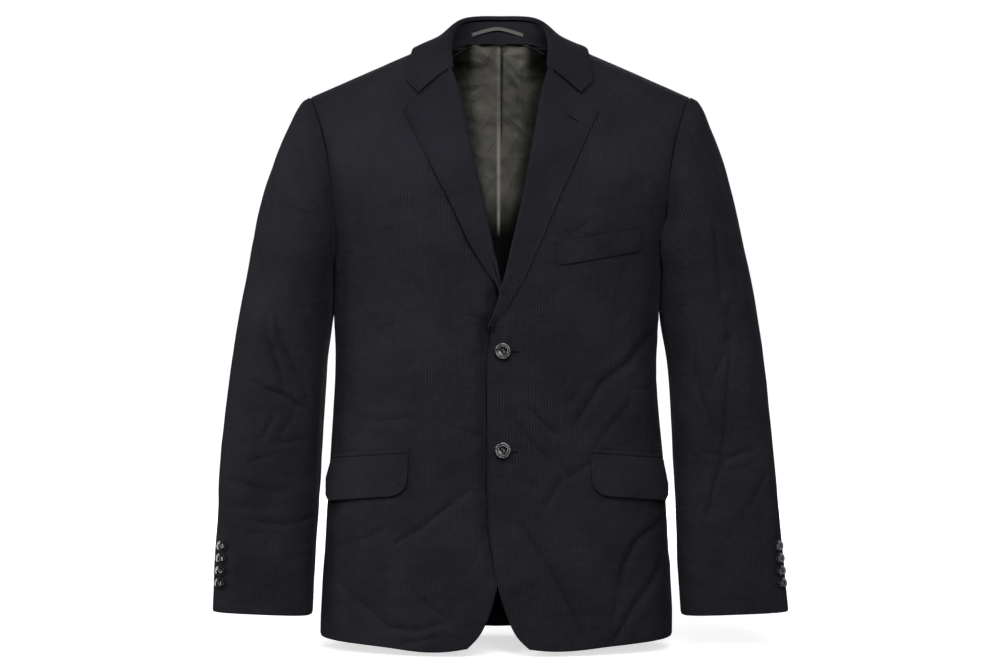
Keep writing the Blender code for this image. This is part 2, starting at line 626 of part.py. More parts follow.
def armhole_ring(side):
    """Points of the armhole from the shoulder's tip by the front and the armpit, and
    the share of the way round that each one stands for."""
    front = [on_torso(x, z, side)[0] for x, z in armhole(side, False)][::-1]
    back = [on_torso(x, z, side, True)[0] for x, z in armhole(side, True)]
    under = [round_torso(angle, z, side)[0] for angle, z in armpit(side)]
    ring = np.array(front + under[1:-1] + back[:-1])
    steps = np.linalg.norm(np.diff(np.vstack((ring, ring[:1])), axis=0), axis=1)
    way = np.concatenate(([0.0], np.cumsum(steps)))
    lowest = int(np.argmin(ring[:, 2]))
    shares = np.interp(way[:-1], (0.0, way[lowest], way[-1]), (0.0, 0.5, 1.0))
    return ring, shares


def ring_point(share, outer, inner, front, back, boxy):
    """A point of a sleeve's ring, a rounded oval through its four farthest points."""
    turn = 2 * math.pi * share
    across = math.copysign(abs(math.cos(turn)) ** (2 / boxy), math.cos(turn))
    along = math.copysign(abs(math.sin(turn)) ** (2 / boxy), math.sin(turn))
    x, z = (outer + inner) / 2 + (outer - inner) / 2 * across
    return np.array((x, (front + back) / 2 + (front - back) / 2 * along, z))


def sleeve_grid(side):
    """Rings of points from the armhole down to the cuff, and their normals."""
    ring, shares = armhole_ring(side)
    lowest = ring[np.argmin(ring[:, 2])]
    rows = [(ring[0][2], lowest[2], ring[0][0], lowest[0],
             ring[:, 1].min(), ring[:, 1].max())]
    for row in SLEEVE:
        outer, inner = ((row.outer_left, row.inner_left) if side == LEFT
                        else (row.outer_right, row.inner_right))
        rows.append((row.outer_z, row.inner_z, outer, inner, row.front, row.back))
    rows = np.array(rows)
    lengths = np.abs(np.diff(rows[:, 0])) + np.abs(np.diff(rows[:, 2]))
    ways = np.concatenate(([0.0], np.cumsum(lengths)))
    section = through(ways / ways[-1], rows)
    steps = np.linspace(0, 1, SLEEVE_ROWS) ** 1.25
    grid = []
    first = section(0.0)
    for t in steps:
        outer_z, inner_z, outer_x, inner_x, front, back = section(t)
        outer, inner = np.array((outer_x, outer_z)), np.array((inner_x, inner_z))
        fade = (1 - blend(0.0, SLEEVE_HEAD, t)) ** 1.5
        boxy = 2.0 + (CUFF_BOXY - 2.0) * blend(SLEEVE_SQUARES, 1.0, t)
        row = []
        for point, share in zip(ring, shares):
            start = ring_point(share, first[[2, 0]], first[[3, 1]], first[4], first[5], 2.0)
            place = ring_point(share, outer, inner, front, back, boxy)
            row.append(place + fade * (point - start))
        grid.append(row)
    grid = np.array(grid)
    grid = grid + grid_normals(grid, ring=True) * fold_grid(grid, side, SLEEVE_FOLDS)
    down = grid[1] - grid[0]
    grid[0] += down / np.linalg.norm(down, axis=1, keepdims=True) * SLEEVE_GAP
    return grid, shares


def make_sleeve(side):
    grid, shares = sleeve_grid(side)
    normals = grid_normals(grid, ring=True)
    first = int(np.argmin(np.abs(shares - SLEEVE_SEAM_FRONT)))
    second = int(np.argmin(np.abs(shares - SLEEVE_SEAM_BACK)))
    count = len(shares)
    under = list(range(first, second + 1))
    top = [i % count for i in range(second, first + count + 1)]
    for name, columns in (("sleeve_under_", under), ("sleeve_top_", top)):
        wall(name + SIDE_NAME[side], grid[:, columns], normals[:, columns], side, SHELL)
    return grid, normals, shares


# ---------------------------------------------------------------- collar and lapels

def make_lapel(side):
    steps = np.linspace(0, 1, LAPEL_ROWS)
    fold, edge = curve(FOLD[side]), curve(LAPEL_EDGE[side])
    across = LAPEL_COLUMNS
    foot = straight((FOLD[side][0], LAPEL_EDGE[side][0]))
    gorge = straight((FOLD[side][-1], NOTCH, LAPEL_EDGE[side][-1]))
    plan = coons([foot(u) for u in across], [gorge(u) for u in across],
                 [fold(t) for t in steps], [edge(t) for t in steps])
    points = []
    for t, row in zip(steps, plan):
        soft = blend(0.0, LAPEL_SOFT, t)
        high = LAPEL_FOOT_HIGH + (LAPEL_HIGH[side] - LAPEL_FOOT_HIGH) * soft
        x, z = row[0]
        base = lap_lift(x, z, side)
        line = [on_torso(x + out, z, side, False, base + up)[0]
                for out, up in (LAPEL_RIM, LAPEL_CREST)]
        for u, (x, z) in zip(across, row):
            lift = LAPEL_FLAT + (high - LAPEL_FLAT) * (1 - u) ** 1.5
            shift = LAPEL_TURN if u == 0.0 else 0.0
            base = lap_lift(x, z, side)
            line.append(on_torso(x + shift, z, side, False, base + lift)[0])
        points.append(line)
    points = np.array(points)
    wall("lapel_" + SIDE_NAME[side], points, grid_normals(points), side, SHELL)


def outward(point):
    """Level direction away from the middle of the neck."""
    away = np.array((point[0], point[1], 0.0))
    return away / np.linalg.norm(away)


def collar_fold(side):
    """The collar's fold, from the middle of the back down to the top of the lapel's fold."""
    x, z = FOLD[side][-1]
    end = on_torso(x, z, side, False, COLLAR_START)[0]
    return curve((*COLLAR_FOLD, end))


def collar_edge(side):
    """The collar's outer edge, lying on the back and the shoulder, then on the front."""
    laid = []
    for x, y in COLLAR_EDGE_PLAN:
        point = np.array((x, y, roof(x, y, side)))
        laid.append(point + COLLAR_CLEAR * torso_normal(*point, side))
    laid.append(on_torso(*COLLAR_CORNER, side, False, COLLAR_CLEAR)[0])
    return curve(laid)


def clear_of_torso(point, side, gap):
    """Move a point straight out from the shoulder until it clears the cloth by gap."""
    x, y, z = point
    top = np.array((x, y, roof(x, y, side)))
    normal = torso_normal(*top, side)
    stands = (z - top[2]) * normal[2]
    return point + normal * max(gap - stands, 0.0)


def collar_fall(side):
    """Half of the part of the collar that turns down outside, with its square end."""
    fold, edge = collar_fold(side), collar_edge(side)
    notch = on_torso(*NOTCH, side, False, COLLAR_CLEAR)[0]
    seam, free = np.linalg.norm(notch - fold(1.0)), np.linalg.norm(edge(1.0) - notch)
    turn = seam / (seam + free)
    across = (0.0, turn / 3, turn * 2 / 3, turn, (turn + 1) / 2, 1.0)
    middle = straight((fold(0.0), edge(0.0)))
    end = straight((fold(1.0), notch, edge(1.0)))
    plan = coons([middle(u) for u in across], [end(u) for u in across],
                 [fold(t) for t in COLLAR_STEPS], [edge(t) for t in COLLAR_STEPS])
    points = []
    for t, row in zip(COLLAR_STEPS, plan):
        away = outward(row[0])
        swell = COLLAR_SWELL * (1 - SWELL_LOSS * t)
        tuck = COLLAR_TUCK * (1 - blend(0.75, 1.0, t))
        line = [row[0] - away * COLLAR_IN - UP * tuck,
                row[0] + away * COLLAR_CREST[0] + UP * COLLAR_CREST[1]]
        for u, point in zip(across, row):
            lift = (away + UP) * (swell * math.sin(math.pi * u ** 0.8))
            turn = away * COLLAR_TURN[0] + UP * COLLAR_TURN[1]
            point = point + lift + turn * (1 - u)
            line.append(clear_of_torso(point, side, COLLAR_CLEAR * blend(0.0, 0.3, u)))
        points.append(line)
    return np.array(points)


def neck_seam(side):
    """The seam that the collar stands on, from the middle of the back to the gorge."""
    places = [on_torso(x, z, side, True)[0] for x, z in NECK_BACK]
    places.append(np.array((NECK_HALF, 0.0, 0.0)))
    places += [on_torso(x, z, side, False)[0] for x, z in NECK_FRONT]
    return curve(places)


def collar_stand(side):
    """Half of the part of the collar that stands up round the neck inside the fall."""
    fold, seam = collar_fold(side), neck_seam(side)
    points = []
    for t in COLLAR_STEPS * STAND_END:
        top = fold(t) - UP * STAND_DROP
        foot = seam(t) - outward(seam(t)) * STAND_FOOT_IN + UP * STAND_FOOT_UP
        foot[2] = min(foot[2], STAND_FOOT_TOP)
        points.append([top + (foot - top) * u for u in (0.0, 0.35, 0.7, 1.0)])
    return np.array(points)


def whole_collar(name, half, flip):
    """Join two halves at the middle of the back and make the wall."""
    left, right = half(LEFT), half(RIGHT)
    right = right[::-1] * np.array((-1, 1, 1))
    points = np.concatenate((right[:-1], left))
    wall(name, points, flip * grid_normals(points), 1, SHELL)


def make_lining(side):
    """The back's lining, from the back's own places moved in. At the middle the right
    half is folded over the left one in a pleat."""
    points, normals = [], []
    for z in np.linspace(LINING_FOOT, LINING_TOP, LINING_ROWS):
        level = Level(*TORSO_AT(z))
        start = side * PLEAT_EDGE
        reach = side * level.centre + LINING_REACH * level.width
        reach = min(reach, NECK_HALF - (z + LINING_SHOULDER) / SHOULDER_SLOPE)
        line, outs = [], []
        for u in np.linspace(0, 1, LINING_COLUMNS):
            x = start + (reach - start) * u
            folded = 1 - blend(0.0, PLEAT_WIDTH, x - start)
            rise = PLEAT_RISE * folded if side == RIGHT else 0.0
            point, normal = on_torso(x, z, side, True)
            line.append(point - normal * (CLOTH + LINING_OFF + rise))
            outs.append(normal)
        points.append(line)
        normals.append(outs)
    wall("lining_" + SIDE_NAME[side], np.array(points), np.array(normals), side, SATIN, LINING)


def make_hanger_loop():
    """A flat band sewn at both ends inside the collar's stand, bowed up in the middle."""
    behind = collar_stand(LEFT)[:, 1]
    points = []
    for t in np.linspace(-1, 1, 9):
        x = LOOP_CENTRE + LOOP_HALF * t
        stand = np.interp(abs(x), behind[:, 0], behind[:, 1])
        y = stand - CLOTH - LOOP_OFF - LOOP_BOW * (1 - t * t)
        z = LOOP_ENDS + (LOOP_PEAK - LOOP_ENDS) * (1 - abs(t) ** 1.3)
        points.append([(x, y, z), (x, y, z + LOOP_WIDTH)])
    points = np.array(points)
    wall("hanger_loop", points, grid_normals(points), 1, SATIN)


def make_welt(side):
    """The breast pocket's welt, a narrow slanting band."""
    top_in, top_out, low_out, low_in = (np.array(place) for place in WELT)
    plan = np.array([[low + (high - low) * t for low, high in
                      ((low_in + (low_out - low_in) * u, top_in + (top_out - top_in) * u)
                       for u in np.linspace(0, 1, 8))] for t in np.linspace(0, 1, 3)])
    points, normals = sheet_on_torso(plan, side, False, lambda x, z: CLOTH + LAID_GAP)
    wall("chest_welt", points, normals, side, SHELL)


def pocket_place(u, side):
    """Angle round the section and height of the pocket's mouth, from its front to its back."""
    start, end = FLAP_ANGLES[side]
    return start + (end - start) * u, FLAP_TOP[0] + (FLAP_TOP[1] - FLAP_TOP[0]) * u


def make_pocket(side):
    """A narrow jet above the pocket's mouth and the flap that hangs over it."""
    jet, flap = [], []
    for v in (0.0, 1.0):
        row = [pocket_place(u, side) for u in np.linspace(0, 1, 10)]
        jet.append([round_torso(a, z + MOUTH + JET_HEIGHT * v, side, CLOTH + LAID_GAP)
                    for a, z in row])
    for v in np.linspace(0, 1, 4):
        row = []
        for u in FLAP_COLUMNS:
            angle, z = pocket_place(u, side)
            near = max(1 - u * FLAP_LENGTH / FLAP_CORNER, 0.0)
            rounded = FLAP_CORNER * (1 - math.sqrt(1 - near ** 2))
            low = (FLAP_DROP + FLAP_FLARE * u - rounded) * (1 - v)
            lift = CLOTH + LAID_GAP + FLAP_STAND * (1 - v)
            row.append(round_torso(angle, z - low, side, lift))
        flap.append(row)
    for name, rows in (("pocket_jet_", jet), ("pocket_flap_", flap)):
        points = np.array([[point for point, _ in row] for row in rows])
        normals = np.array([[normal for _, normal in row] for row in rows])
        wall(name + SIDE_NAME[side], points, normals, side, SHELL)


def make_button(name, place, facing, radius, thick, segments):
    """A turned button with a raised rim round a shallow dish, face out along facing."""
    profile = ((0.0, 0.0), (0.80, 0.0), (1.0, 0.35), (1.0, 0.75), (0.90, 1.0), (0.72, 0.94),
               (0.62, 0.62), (0.0, 0.58))
    made = bmesh.new()
    axis = Vector(facing).normalized()
    turn = axis.to_track_quat("Z", "Y").to_matrix().to_4x4()
    rings = []
    for r, h in profile:
        if r == 0.0:
            rings.append([made.verts.new((0, 0, h * thick))])
            continue
        rings.append([made.verts.new((radius * r * math.cos(2 * math.pi * k / segments),
                                      radius * r * math.sin(2 * math.pi * k / segments),
                                      h * thick)) for k in range(segments)])
    for low, high in zip(rings, rings[1:]):
        for k in range(segments):
            corners = [low[k % len(low)], low[(k + 1) % len(low)],
                       high[(k + 1) % len(high)], high[k % len(high)]]
            made.faces.new(list(dict.fromkeys(corners)))
    made.transform(Matrix.Translation(Vector(place)) @ turn)
    add_object(name, made, GLOSS)


def make_front_buttons():
    for name, z in BUTTON_LEVELS.items():
        lift = lap_lift(BUTTON_X, z, LEFT) + FRONT_BUTTON_OFF
        place, normal = on_torso(BUTTON_X, z, LEFT, False, lift)
        make_button("button_front_" + name, place, normal, BUTTON_RADIUS, BUTTON_THICK, 20)


def make_cuff_buttons(side, grid, normals, shares):
    """Four buttons up the outer front of the cuff, each on the sleeve's own surface."""
    share = CUFF_BUTTON_SHARE_LEFT if side == LEFT else CUFF_BUTTON_SHARE_RIGHT
    after = int(np.searchsorted(shares, share))
    mixed = (share - shares[after - 1]) / (shares[after] - shares[after - 1])
    line = grid[:, after - 1] * (1 - mixed) + grid[:, after] * mixed
    outs = normals[:, after - 1] * (1 - mixed) + normals[:, after] * mixed
    for number, z in enumerate(CUFF_BUTTON_LEVELS, 1):
        heights = line[::-1, 2]
        place = np.array([np.interp(z, heights, line[::-1, k]) for k in range(3)])
        normal = np.array([np.interp(z, heights, outs[::-1, k]) for k in range(3)])
        normal = normal / np.linalg.norm(normal) + CUFF_BUTTON_TURN
        normal = normal / np.linalg.norm(normal)
        place = place + normal * CUFF_BUTTON_OFF
        flip = np.array((side, 1, 1))
        name = f"button_cuff_{SIDE_NAME[side]}_{number}"
        make_button(name, place * flip, normal * flip, CUFF_BUTTON_RADIUS,
                    CUFF_BUTTON_THICK, 14)


# ---------------------------------------------------------------- the whole blazer

def build():
    for old in list(bpy.data.objects):
        bpy.data.objects.remove(old)
    for side in (LEFT, RIGHT):
        make_front(side)
        make_side_panel(side)
        make_back(side)
        make_lining(side)
        make_lapel(side)
        make_pocket(side)
        sleeve = make_sleeve(side)
        make_cuff_buttons(side, *sleeve)
    whole_collar("collar_fall", collar_fall, 1)
    whole_collar("collar_stand", collar_stand, -1)
    make_hanger_loop()
    make_welt(LEFT)
    make_front_buttons()


build()
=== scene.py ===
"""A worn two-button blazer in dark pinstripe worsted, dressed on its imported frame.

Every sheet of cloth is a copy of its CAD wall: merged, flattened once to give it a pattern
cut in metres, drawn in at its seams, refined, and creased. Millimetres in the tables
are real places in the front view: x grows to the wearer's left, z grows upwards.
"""

import math

import bmesh
import bpy
import numpy as np
from mathutils import Matrix, Vector, noise
from mathutils.kdtree import KDTree


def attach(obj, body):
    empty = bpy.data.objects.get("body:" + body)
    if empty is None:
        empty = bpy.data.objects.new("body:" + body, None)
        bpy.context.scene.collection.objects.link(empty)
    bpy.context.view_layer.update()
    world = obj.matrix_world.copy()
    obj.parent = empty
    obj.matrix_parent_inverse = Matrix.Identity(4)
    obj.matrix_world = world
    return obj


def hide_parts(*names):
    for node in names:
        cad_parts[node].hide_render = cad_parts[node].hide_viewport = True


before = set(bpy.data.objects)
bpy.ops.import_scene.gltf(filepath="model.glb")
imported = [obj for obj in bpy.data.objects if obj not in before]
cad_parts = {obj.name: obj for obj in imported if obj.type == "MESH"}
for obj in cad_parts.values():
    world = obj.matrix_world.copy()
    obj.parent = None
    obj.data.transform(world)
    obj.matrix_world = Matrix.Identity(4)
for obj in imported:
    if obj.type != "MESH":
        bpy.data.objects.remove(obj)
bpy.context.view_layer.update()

MM = 0.001
CLOTH = 1.6 * MM
LINING = 1.0 * MM
SEAM_BAND = 3.0 * MM          # the band beside each seam or edge that is pressed over
CORNER = 148                  # an edge that turns more sharply than this keeps its corner

# The middle of each sleeve, as height, distance from the blazer's middle, and depth
SLEEVE_MIDDLE = ((-0.760, 0.2930, -0.0400), (-0.703, 0.2900, -0.0355), (-0.560, 0.2797, -0.0210),
                 (-0.400, 0.2685, -0.0075), (-0.260, 0.2530, -0.0010), (-0.140, 0.2390, 0.0000),
                 (-0.060, 0.2320, 0.0000))

# ------------------------------------------------------------------ creases

# Each row is x1, z1, x2, z2, deep, wide and swell. A crease runs from its first place to its
# second. deep is how far its trough sinks, wide its half width, and the cloth swells beside it,
# more on the side that swell names, 1 to the left.
DEPTH = 1.35                  # every crease is this much deeper than its table says
NARROW = 0.80                 # and this much narrower
FINE = 2.5                    # a crease as narrow as this only marks the cloth, as a seam does
WANDER = 0.16                 # how far it strays from a straight line, in half widths
BELLY = 0.28                  # how much of its depth it gains between its ends and its middle
RUN_OUT = 0.8                 # how quickly it dies away past its ends
SWELLS = ((1.9, 0.42), (-1.9, 0.22))      # where the cloth beside it swells, and how high
SWELL_WIDE = 1.5
FELT = 4.0                    # the cloth is marked this many mm to each side
NO_LINE = 20.0                # the distance in mm that is given where no crease is near

FRONT_CREASES = (
    # wearer's right front, the left half of the picture
    (-186, -458, -151, -470, 1.5, 5, 1), (-151, -470, -106, -464, 1.7, 5, 1),
    (-70, -470, -22, -488, 1.3, 6, -1), (-62, -462, -30, -468, 0.8, 5, 1),
    (-124, -616, -88, -592, 1.9, 4, 1), (-88, -592, -42, -556, 1.6, 5, 1),
    (-196, -621, -166, -612, 1.0, 6, -1), (-166, -612, -138, -598, 1.7, 4, -1),
    (-113, -664, -92, -686, 1.5, 4, -1), (-92, -686, -70, -703, 1.2, 5, -1),
    (-169, -690, -133, -717, 2.1, 6, 1), (-133, -717, -100, -722, 1.8, 6, 1),
    (-100, -722, -60, -708, 1.2, 6, 1), (-118, -737, -76, -728, 1.1, 5, 1),
    (-150, -640, -128, -690, 0.8, 7, -1), (-182, -494, -166, -470, 0.8, 6, -1),
    (-108, -400, -98, -388, 0.7, 5, 1), (-100, -566, -118, -548, 0.9, 5, 1),
    (-34, -640, -20, -612, 0.8, 6, 1), (-196, -664, -176, -688, 0.8, 6, 1),
    # wearer's left front
    (198, -354, 158, -396, 2.3, 7, 1), (158, -396, 121, -426, 2.6, 6, 1),
    (121, -426, 90, -476, 2.3, 6, -1), (148, -427, 182, -432, 1.6, 4, 1),
    (182, -432, 196, -418, 1.0, 5, -1), (158, -448, 129, -484, 1.7, 6, 1),
    (129, -484, 116, -500, 0.9, 6, 1), (33, -452, 70, -484, 1.9, 5, -1),
    (14, -466, 62, -518, 1.6, 6, -1), (84, -408, 76, -426, 0.9, 5, -1),
    (96, -430, 86, -446, 0.7, 5, 1), (20, -498, 47, -524, 1.0, 5, 1),
    (72, -521, 86, -535, 1.6, 4, 1), (84, -536, 109, -520, 2.1, 4, 1),
    (74, -540, 55, -570, 1.7, 5, -1), (27, -596, 62, -650, 2.0, 7, 1),
    (62, -650, 100, -724, 1.7, 7, 1), (196, -592, 166, -618, 2.1, 6, 1),
    (166, -618, 150, -650, 2.2, 6, 1), (150, -650, 136, -712, 1.5, 8, 1),
    (206, -634, 168, -690, 1.9, 7, -1), (168, -690, 138, -732, 1.9, 7, -1),
    (108, -590, 114, -640, 0.9, 9, 1), (172, -560, 176, -584, 0.9, 7, 1),
    (184, -470, 196, -500, 1.0, 7, 1), (146, -340, 164, -330, 0.8, 6, 1),
    # chest, above and beside the welt
    (82, -246, 104, -231, 1.1, 4, 1), (104, -231, 128, -224, 0.8, 5, 1),
    (-60, -250, -30, -262, 0.7, 7, 1), (-150, -222, -112, -210, 0.6, 9, 1),
    (150, -196, 186, -176, 0.6, 9, -1), (12, -372, 40, -366, 1.0, 4, 1),
    (-176, -336, -146, -356, 0.8, 9, 1), (-52, -336, -20, -348, 0.7, 8, 1),
)
BACK_CREASES = (
    (-168, -352, -122, -384, 1.8, 7, 1), (-122, -384, -60, -402, 1.6, 7, 1),
    (176, -346, 132, -372, 1.9, 7, 1), (132, -372, 58, -396, 1.4, 8, 1),
    (-186, -430, -120, -452, 1.5, 7, -1), (182, -420, 118, -448, 1.5, 7, -1),
    (110, -452, 52, -446, 1.1, 7, 1), (-104, -470, -44, -462, 1.1, 7, 1),
    (-60, -560, -84, -640, 1.4, 9, 1), (66, -572, 92, -668, 1.5, 9, -1),
    (-150, -590, -128, -700, 1.3, 10, 1), (158, -600, 140, -704, 1.3, 10, -1),
    (170, -186, 128, -262, 1.5, 9, 1), (-168, -180, -130, -268, 1.5, 9, -1),
    (-36, -120, 30, -126, 0.8, 8, 1), (-78, -60, -30, -82, 0.8, 8, 1),
    (80, -64, 34, -84, 0.8, 8, 1), (40, -696, 98, -716, 1.0, 8, 1),
)
SLEEVE_FRONT_CREASES = (
    # wearer's right sleeve, the left one in the picture
    (-286, -346, -278, -384, 1.6, 6, 1), (-278, -384, -265, -432, 2.1, 5, 1),
    (-274, -346, -262, -388, 1.7, 5, 1), (-262, -388, -243, -420, 2.2, 5, 1),
    (-243, -420, -234, -446, 1.6, 5, 1), (-304, -421, -284, -430, 1.6, 4, -1),
    (-284, -430, -262, -440, 2.2, 4, -1), (-262, -440, -238, -454, 2.4, 4, -1),
    (-291, -490, -276, -464, 1.7, 4, 1), (-268, -488, -253, -463, 1.5, 4, 1),
    (-276, -497, -234, -492, 1.6, 4, 1), (-304, -518, -276, -511, 1.5, 4, 1),
    (-334, -541, -300, -550, 1.9, 5, -1), (-300, -550, -262, -556, 1.5, 5, -1),
    (-336, -574, -308, -575, 1.5, 4, 1), (-304, -589, -282, -595, 1.7, 4, 1),
    (-282, -595, -256, -596, 1.7, 4, 1), (-256, -596, -230, -588, 1.5, 4, 1),
    (-304, -462, -292, -482, 0.8, 6, 1), (-330, -480, -312, -498, 0.8, 6, 1),
    (-265, -205, -234, -219, 1.3, 6, 1), (-282, -156, -280, -262, 1.2, 8, 1),
    (-300, -250, -282, -318, 1.2, 8, 1), (-262, -262, -240, -330, 1.0, 8, -1),
    (-268, -606, -252, -640, 0.9, 6, 1), (-290, -636, -270, -668, 0.8, 7, -1),
    (-238, -346, -226, -376, 1.1, 6, 1), (-246, -120, -238, -168, 1.1, 7, 1),
    # wearer's left sleeve
    (279, -336, 276, -372, 1.4, 6, -1), (276, -372, 262, -412, 1.9, 8, -1),
    (281, -360, 276, -440, 1.5, 4, 1), (276, -440, 271, -508, 2.0, 4, 1),
    (246, -366, 252, -398, 0.9, 6, 1), (242, -424, 262, -486, 1.5, 5, -1),
    (256, -507, 272, -512, 1.7, 4, 1), (270, -518, 290, -511, 2.4, 4, 1),
    (290, -511, 312, -503, 1.6, 4, 1), (271, -518, 262, -546, 2.4, 6, -1),
    (262, -546, 253, -578, 1.8, 4, -1), (253, -578, 246, -606, 1.0, 4, -1),
    (305, -574, 324, -540, 1.5, 5, 1), (288, -566, 292, -542, 0.9, 6, 1),
    (296, -586, 300, -614, 0.9, 6, -1), (240, -372, 236, -420, 1.0, 7, 1),
    (228, -108, 252, -154, 1.4, 6, 1), (262, -232, 268, -318, 1.3, 5, 1),
    (282, -226, 292, -322, 1.2, 6, -1), (296, -252, 304, -340, 0.9, 7, 1),
    (246, -566, 236, -580, 1.2, 5, 1), (280, -620, 262, -668, 0.8, 8, 1),
    (312, -400, 318, -470, 0.9, 8, 1), (270, -150, 286, -206, 0.9, 8, 1),
)
SLEEVE_BACK_CREASES = (
    (-306, -430, -276, -418, 1.9, 6, 1), (-276, -418, -236, -396, 1.7, 6, 1),
    (-318, -482, -262, -466, 1.7, 6, -1), (-322, -548, -268, -560, 1.4, 6, 1),
    (-296, -262, -256, -330, 1.5, 8, 1), (-270, -356, -246, -392, 1.4, 6, 1),
    (306, -404, 272, -424, 1.9, 6, 1), (272, -424, 236, -436, 1.6, 6, 1),
    (322, -452, 262, -484, 1.7, 6, -1), (326, -540, 272, -566, 1.4, 6, 1),
    (294, -256, 250, -326, 1.5, 8, 1), (280, -352, 250, -388, 1.4, 6, 1),
)
LINING_CREASES = (
    # the centre pleat's folded edge stands out, and the cloth beside it sinks
    (-2.5, 24, -1.5, -262, -1.3, 2.4, 1), (2.2, 24, 2.4, -110, 1.3, 1.6, 1),
    (-36, 2, -12, -14, 1.2, 5, 1), (-58, -12, -26, -18, 1.6, 5, 1),
    (-46, -22, -40, -60, 1.5, 5, 1), (-40, -60, -22, -52, 1.2, 4, 1),
    (-22, -52, -14, -66, 0.9, 4, 1), (-40, -60, -30, -110, 0.9, 6, 1),
    (-22, -96, -12, -86, 1.0, 4, 1), (-30, -150, -10, -118, 1.2, 5, 1),
    (-26, -196, -6, -160, 1.4, 5, 1), (-18, -224, -4, -196, 1.0, 5, 1),
    (56, -6, 30, -22, 1.5, 5, 1), (30, -22, 22, -62, 1.3, 6, -1),
    (12, -30, 28, -58, 1.2, 5, 1), (28, -58, 34, -90, 1.0, 5, 1),
    (10, -84, 32, -104, 1.2, 4, 1), (14, -128, 28, -96, 0.9, 6, 1),
    (10, -180, 22, -150, 1.2, 5, 1), (8, -220, 18, -190, 1.1, 5, 1),
    (-90, -120, -60, -220, 1.5, 9, 1), (90, -110, 62, -210, 1.5, 9, 1),
    (-100, -320, -30, -350, 1.5, 9, 1), (100, -330, 30, -352, 1.5, 9, 1),
    (-90, -480, -40, -600, 1.5, 10, 1), (80, -470, 50, -610, 1.5, 10, 1),
)
# Fine lines where the fronts are cut for the breast pocket and for the jetted pockets
POCKET_LINES = (
    (67, -252.5, 171, -235.0, 1.3, 2.0, 1), (67.5, -252.0, 69.0, -283.0, 1.0, 2.0, 1),
    (171, -236, 170.5, -264, 0.8, 2.0, 1),
    (-113, -502.0, -185, -507.4, 1.2, 2.0, 1), (-185, -507.4, -203, -512.4, 1.2, 2.0, 1),
    (109, -502.0, 181, -507.4, 1.2, 2.0, 1), (181, -507.4, 196, -512.4, 1.2, 2.0, 1),
)
LAPEL_CREASES = (
    (-3, -309, 10, -322, 1.0, 4, 1), (14, -318, 26, -320, 0.6, 4, 1),
    (-88, -90, -64, -78, 0.8, 2.0, 1), (88, -90, 64, -78, 0.8, 2.0, 1),
    (-70, -150, -52, -172, 0.6, 7, 1), (72, -150, 55, -170, 0.6, 7, -1),
)
# The right front sinks where the left one laps over it
LAP_CREASES = (
    (-84, -160, -61, -206, 1.4, 6, -1), (-61, -206, -36, -251, 3.0, 8, -1),
    (-36, -251, 2, -298, 5.5, 11, -1), (2, -298, 0, -330, 8.5, 15, -1),
    (0, -330, -9, -356, 8.0, 14, -1), (-9, -356, -15, -380, 6.0, 12, -1),
    (-15, -380, -17, -503, 4.0, 9, -1), (-17, -503, -15, -600, 3.4, 8, -1),
    (-15, -600, -5, -650, 3.4, 8, -1),
)
# A dart is a fine seam sewn into each front, from the chest down towards the pocket.
DARTS = (
    (-143, -277, -129, -331, 0.9, 2.2, 1), (-129, -331, -126, -443, 0.9, 2.2, 1),
    (151, -277, 136, -331, 0.9, 2.2, 1), (136, -331, 134, -443, 0.9, 2.2, 1),
)


def crease_lift(x, z, creases):
    """What a list of creases does at places in the front view: how far it moves the cloth
    out, the distance in millimetres to the strongest crease there, and its strength."""
    lift, line, strength = np.zeros(len(x)), np.full(len(x), NO_LINE), np.zeros(len(x))
    for x1, z1, x2, z2, deep, half_width, swell in creases:
        start = np.array((x1, z1)) * MM
        run = np.array((x2 - x1, z2 - z1)) * MM
        length = np.linalg.norm(run)
        run = run / length
        wide = half_width * NARROW * MM
        across_x, across_z = x - start[0], z - start[1]
        along = across_x * run[0] + across_z * run[1]
        side = across_x * run[1] - across_z * run[0]
        near = (np.abs(side) < 5 * wide) & (along > -4 * wide) & (along < length + 4 * wide)
        if not near.any():
            continue
        along, side = along[near] / length, side[near]
        bend = WANDER * wide * np.sin(along * 4.1 + x1)
        away = (side + bend) / wide
        beyond = np.maximum(np.maximum(-along, along - 1), 0) * length / wide
        belly = 1 - BELLY + BELLY * np.sin(math.pi * np.clip(along, 0, 1))
        ends = np.exp(-beyond ** 2 * RUN_OUT) * belly
        form = -np.exp(-away ** 2)
        for place, high in SWELLS:
            form += high * np.exp(-((away - place * swell) / SWELL_WIDE) ** 2)
        if half_width > FINE:
            lift[near] += deep * DEPTH * MM * ends * form
        felt = deep * ends * np.exp(-(away * half_width / FELT) ** 2)
        there = np.flatnonzero(near)
        stronger = felt > strength[there]
        line[there[stronger]] = (away * half_width)[stronger]
        strength[there[stronger]] = felt[stronger]
    return lift, line, strength


def ramp(past, width):
    """Rise evenly from 0 to 1 over this width."""
    return np.clip(past / width, 0, 1)


def rumple(x, y, z, size, seed):
    """Soft unevenness between -1 and 1 of this size, the same in every run."""
    return np.array([noise.noise(Vector((a / size + seed, b / size, c / size * 0.7)))
                     for a, b, c in zip(x, y, z)])


# ------------------------------------------------------------------ materials

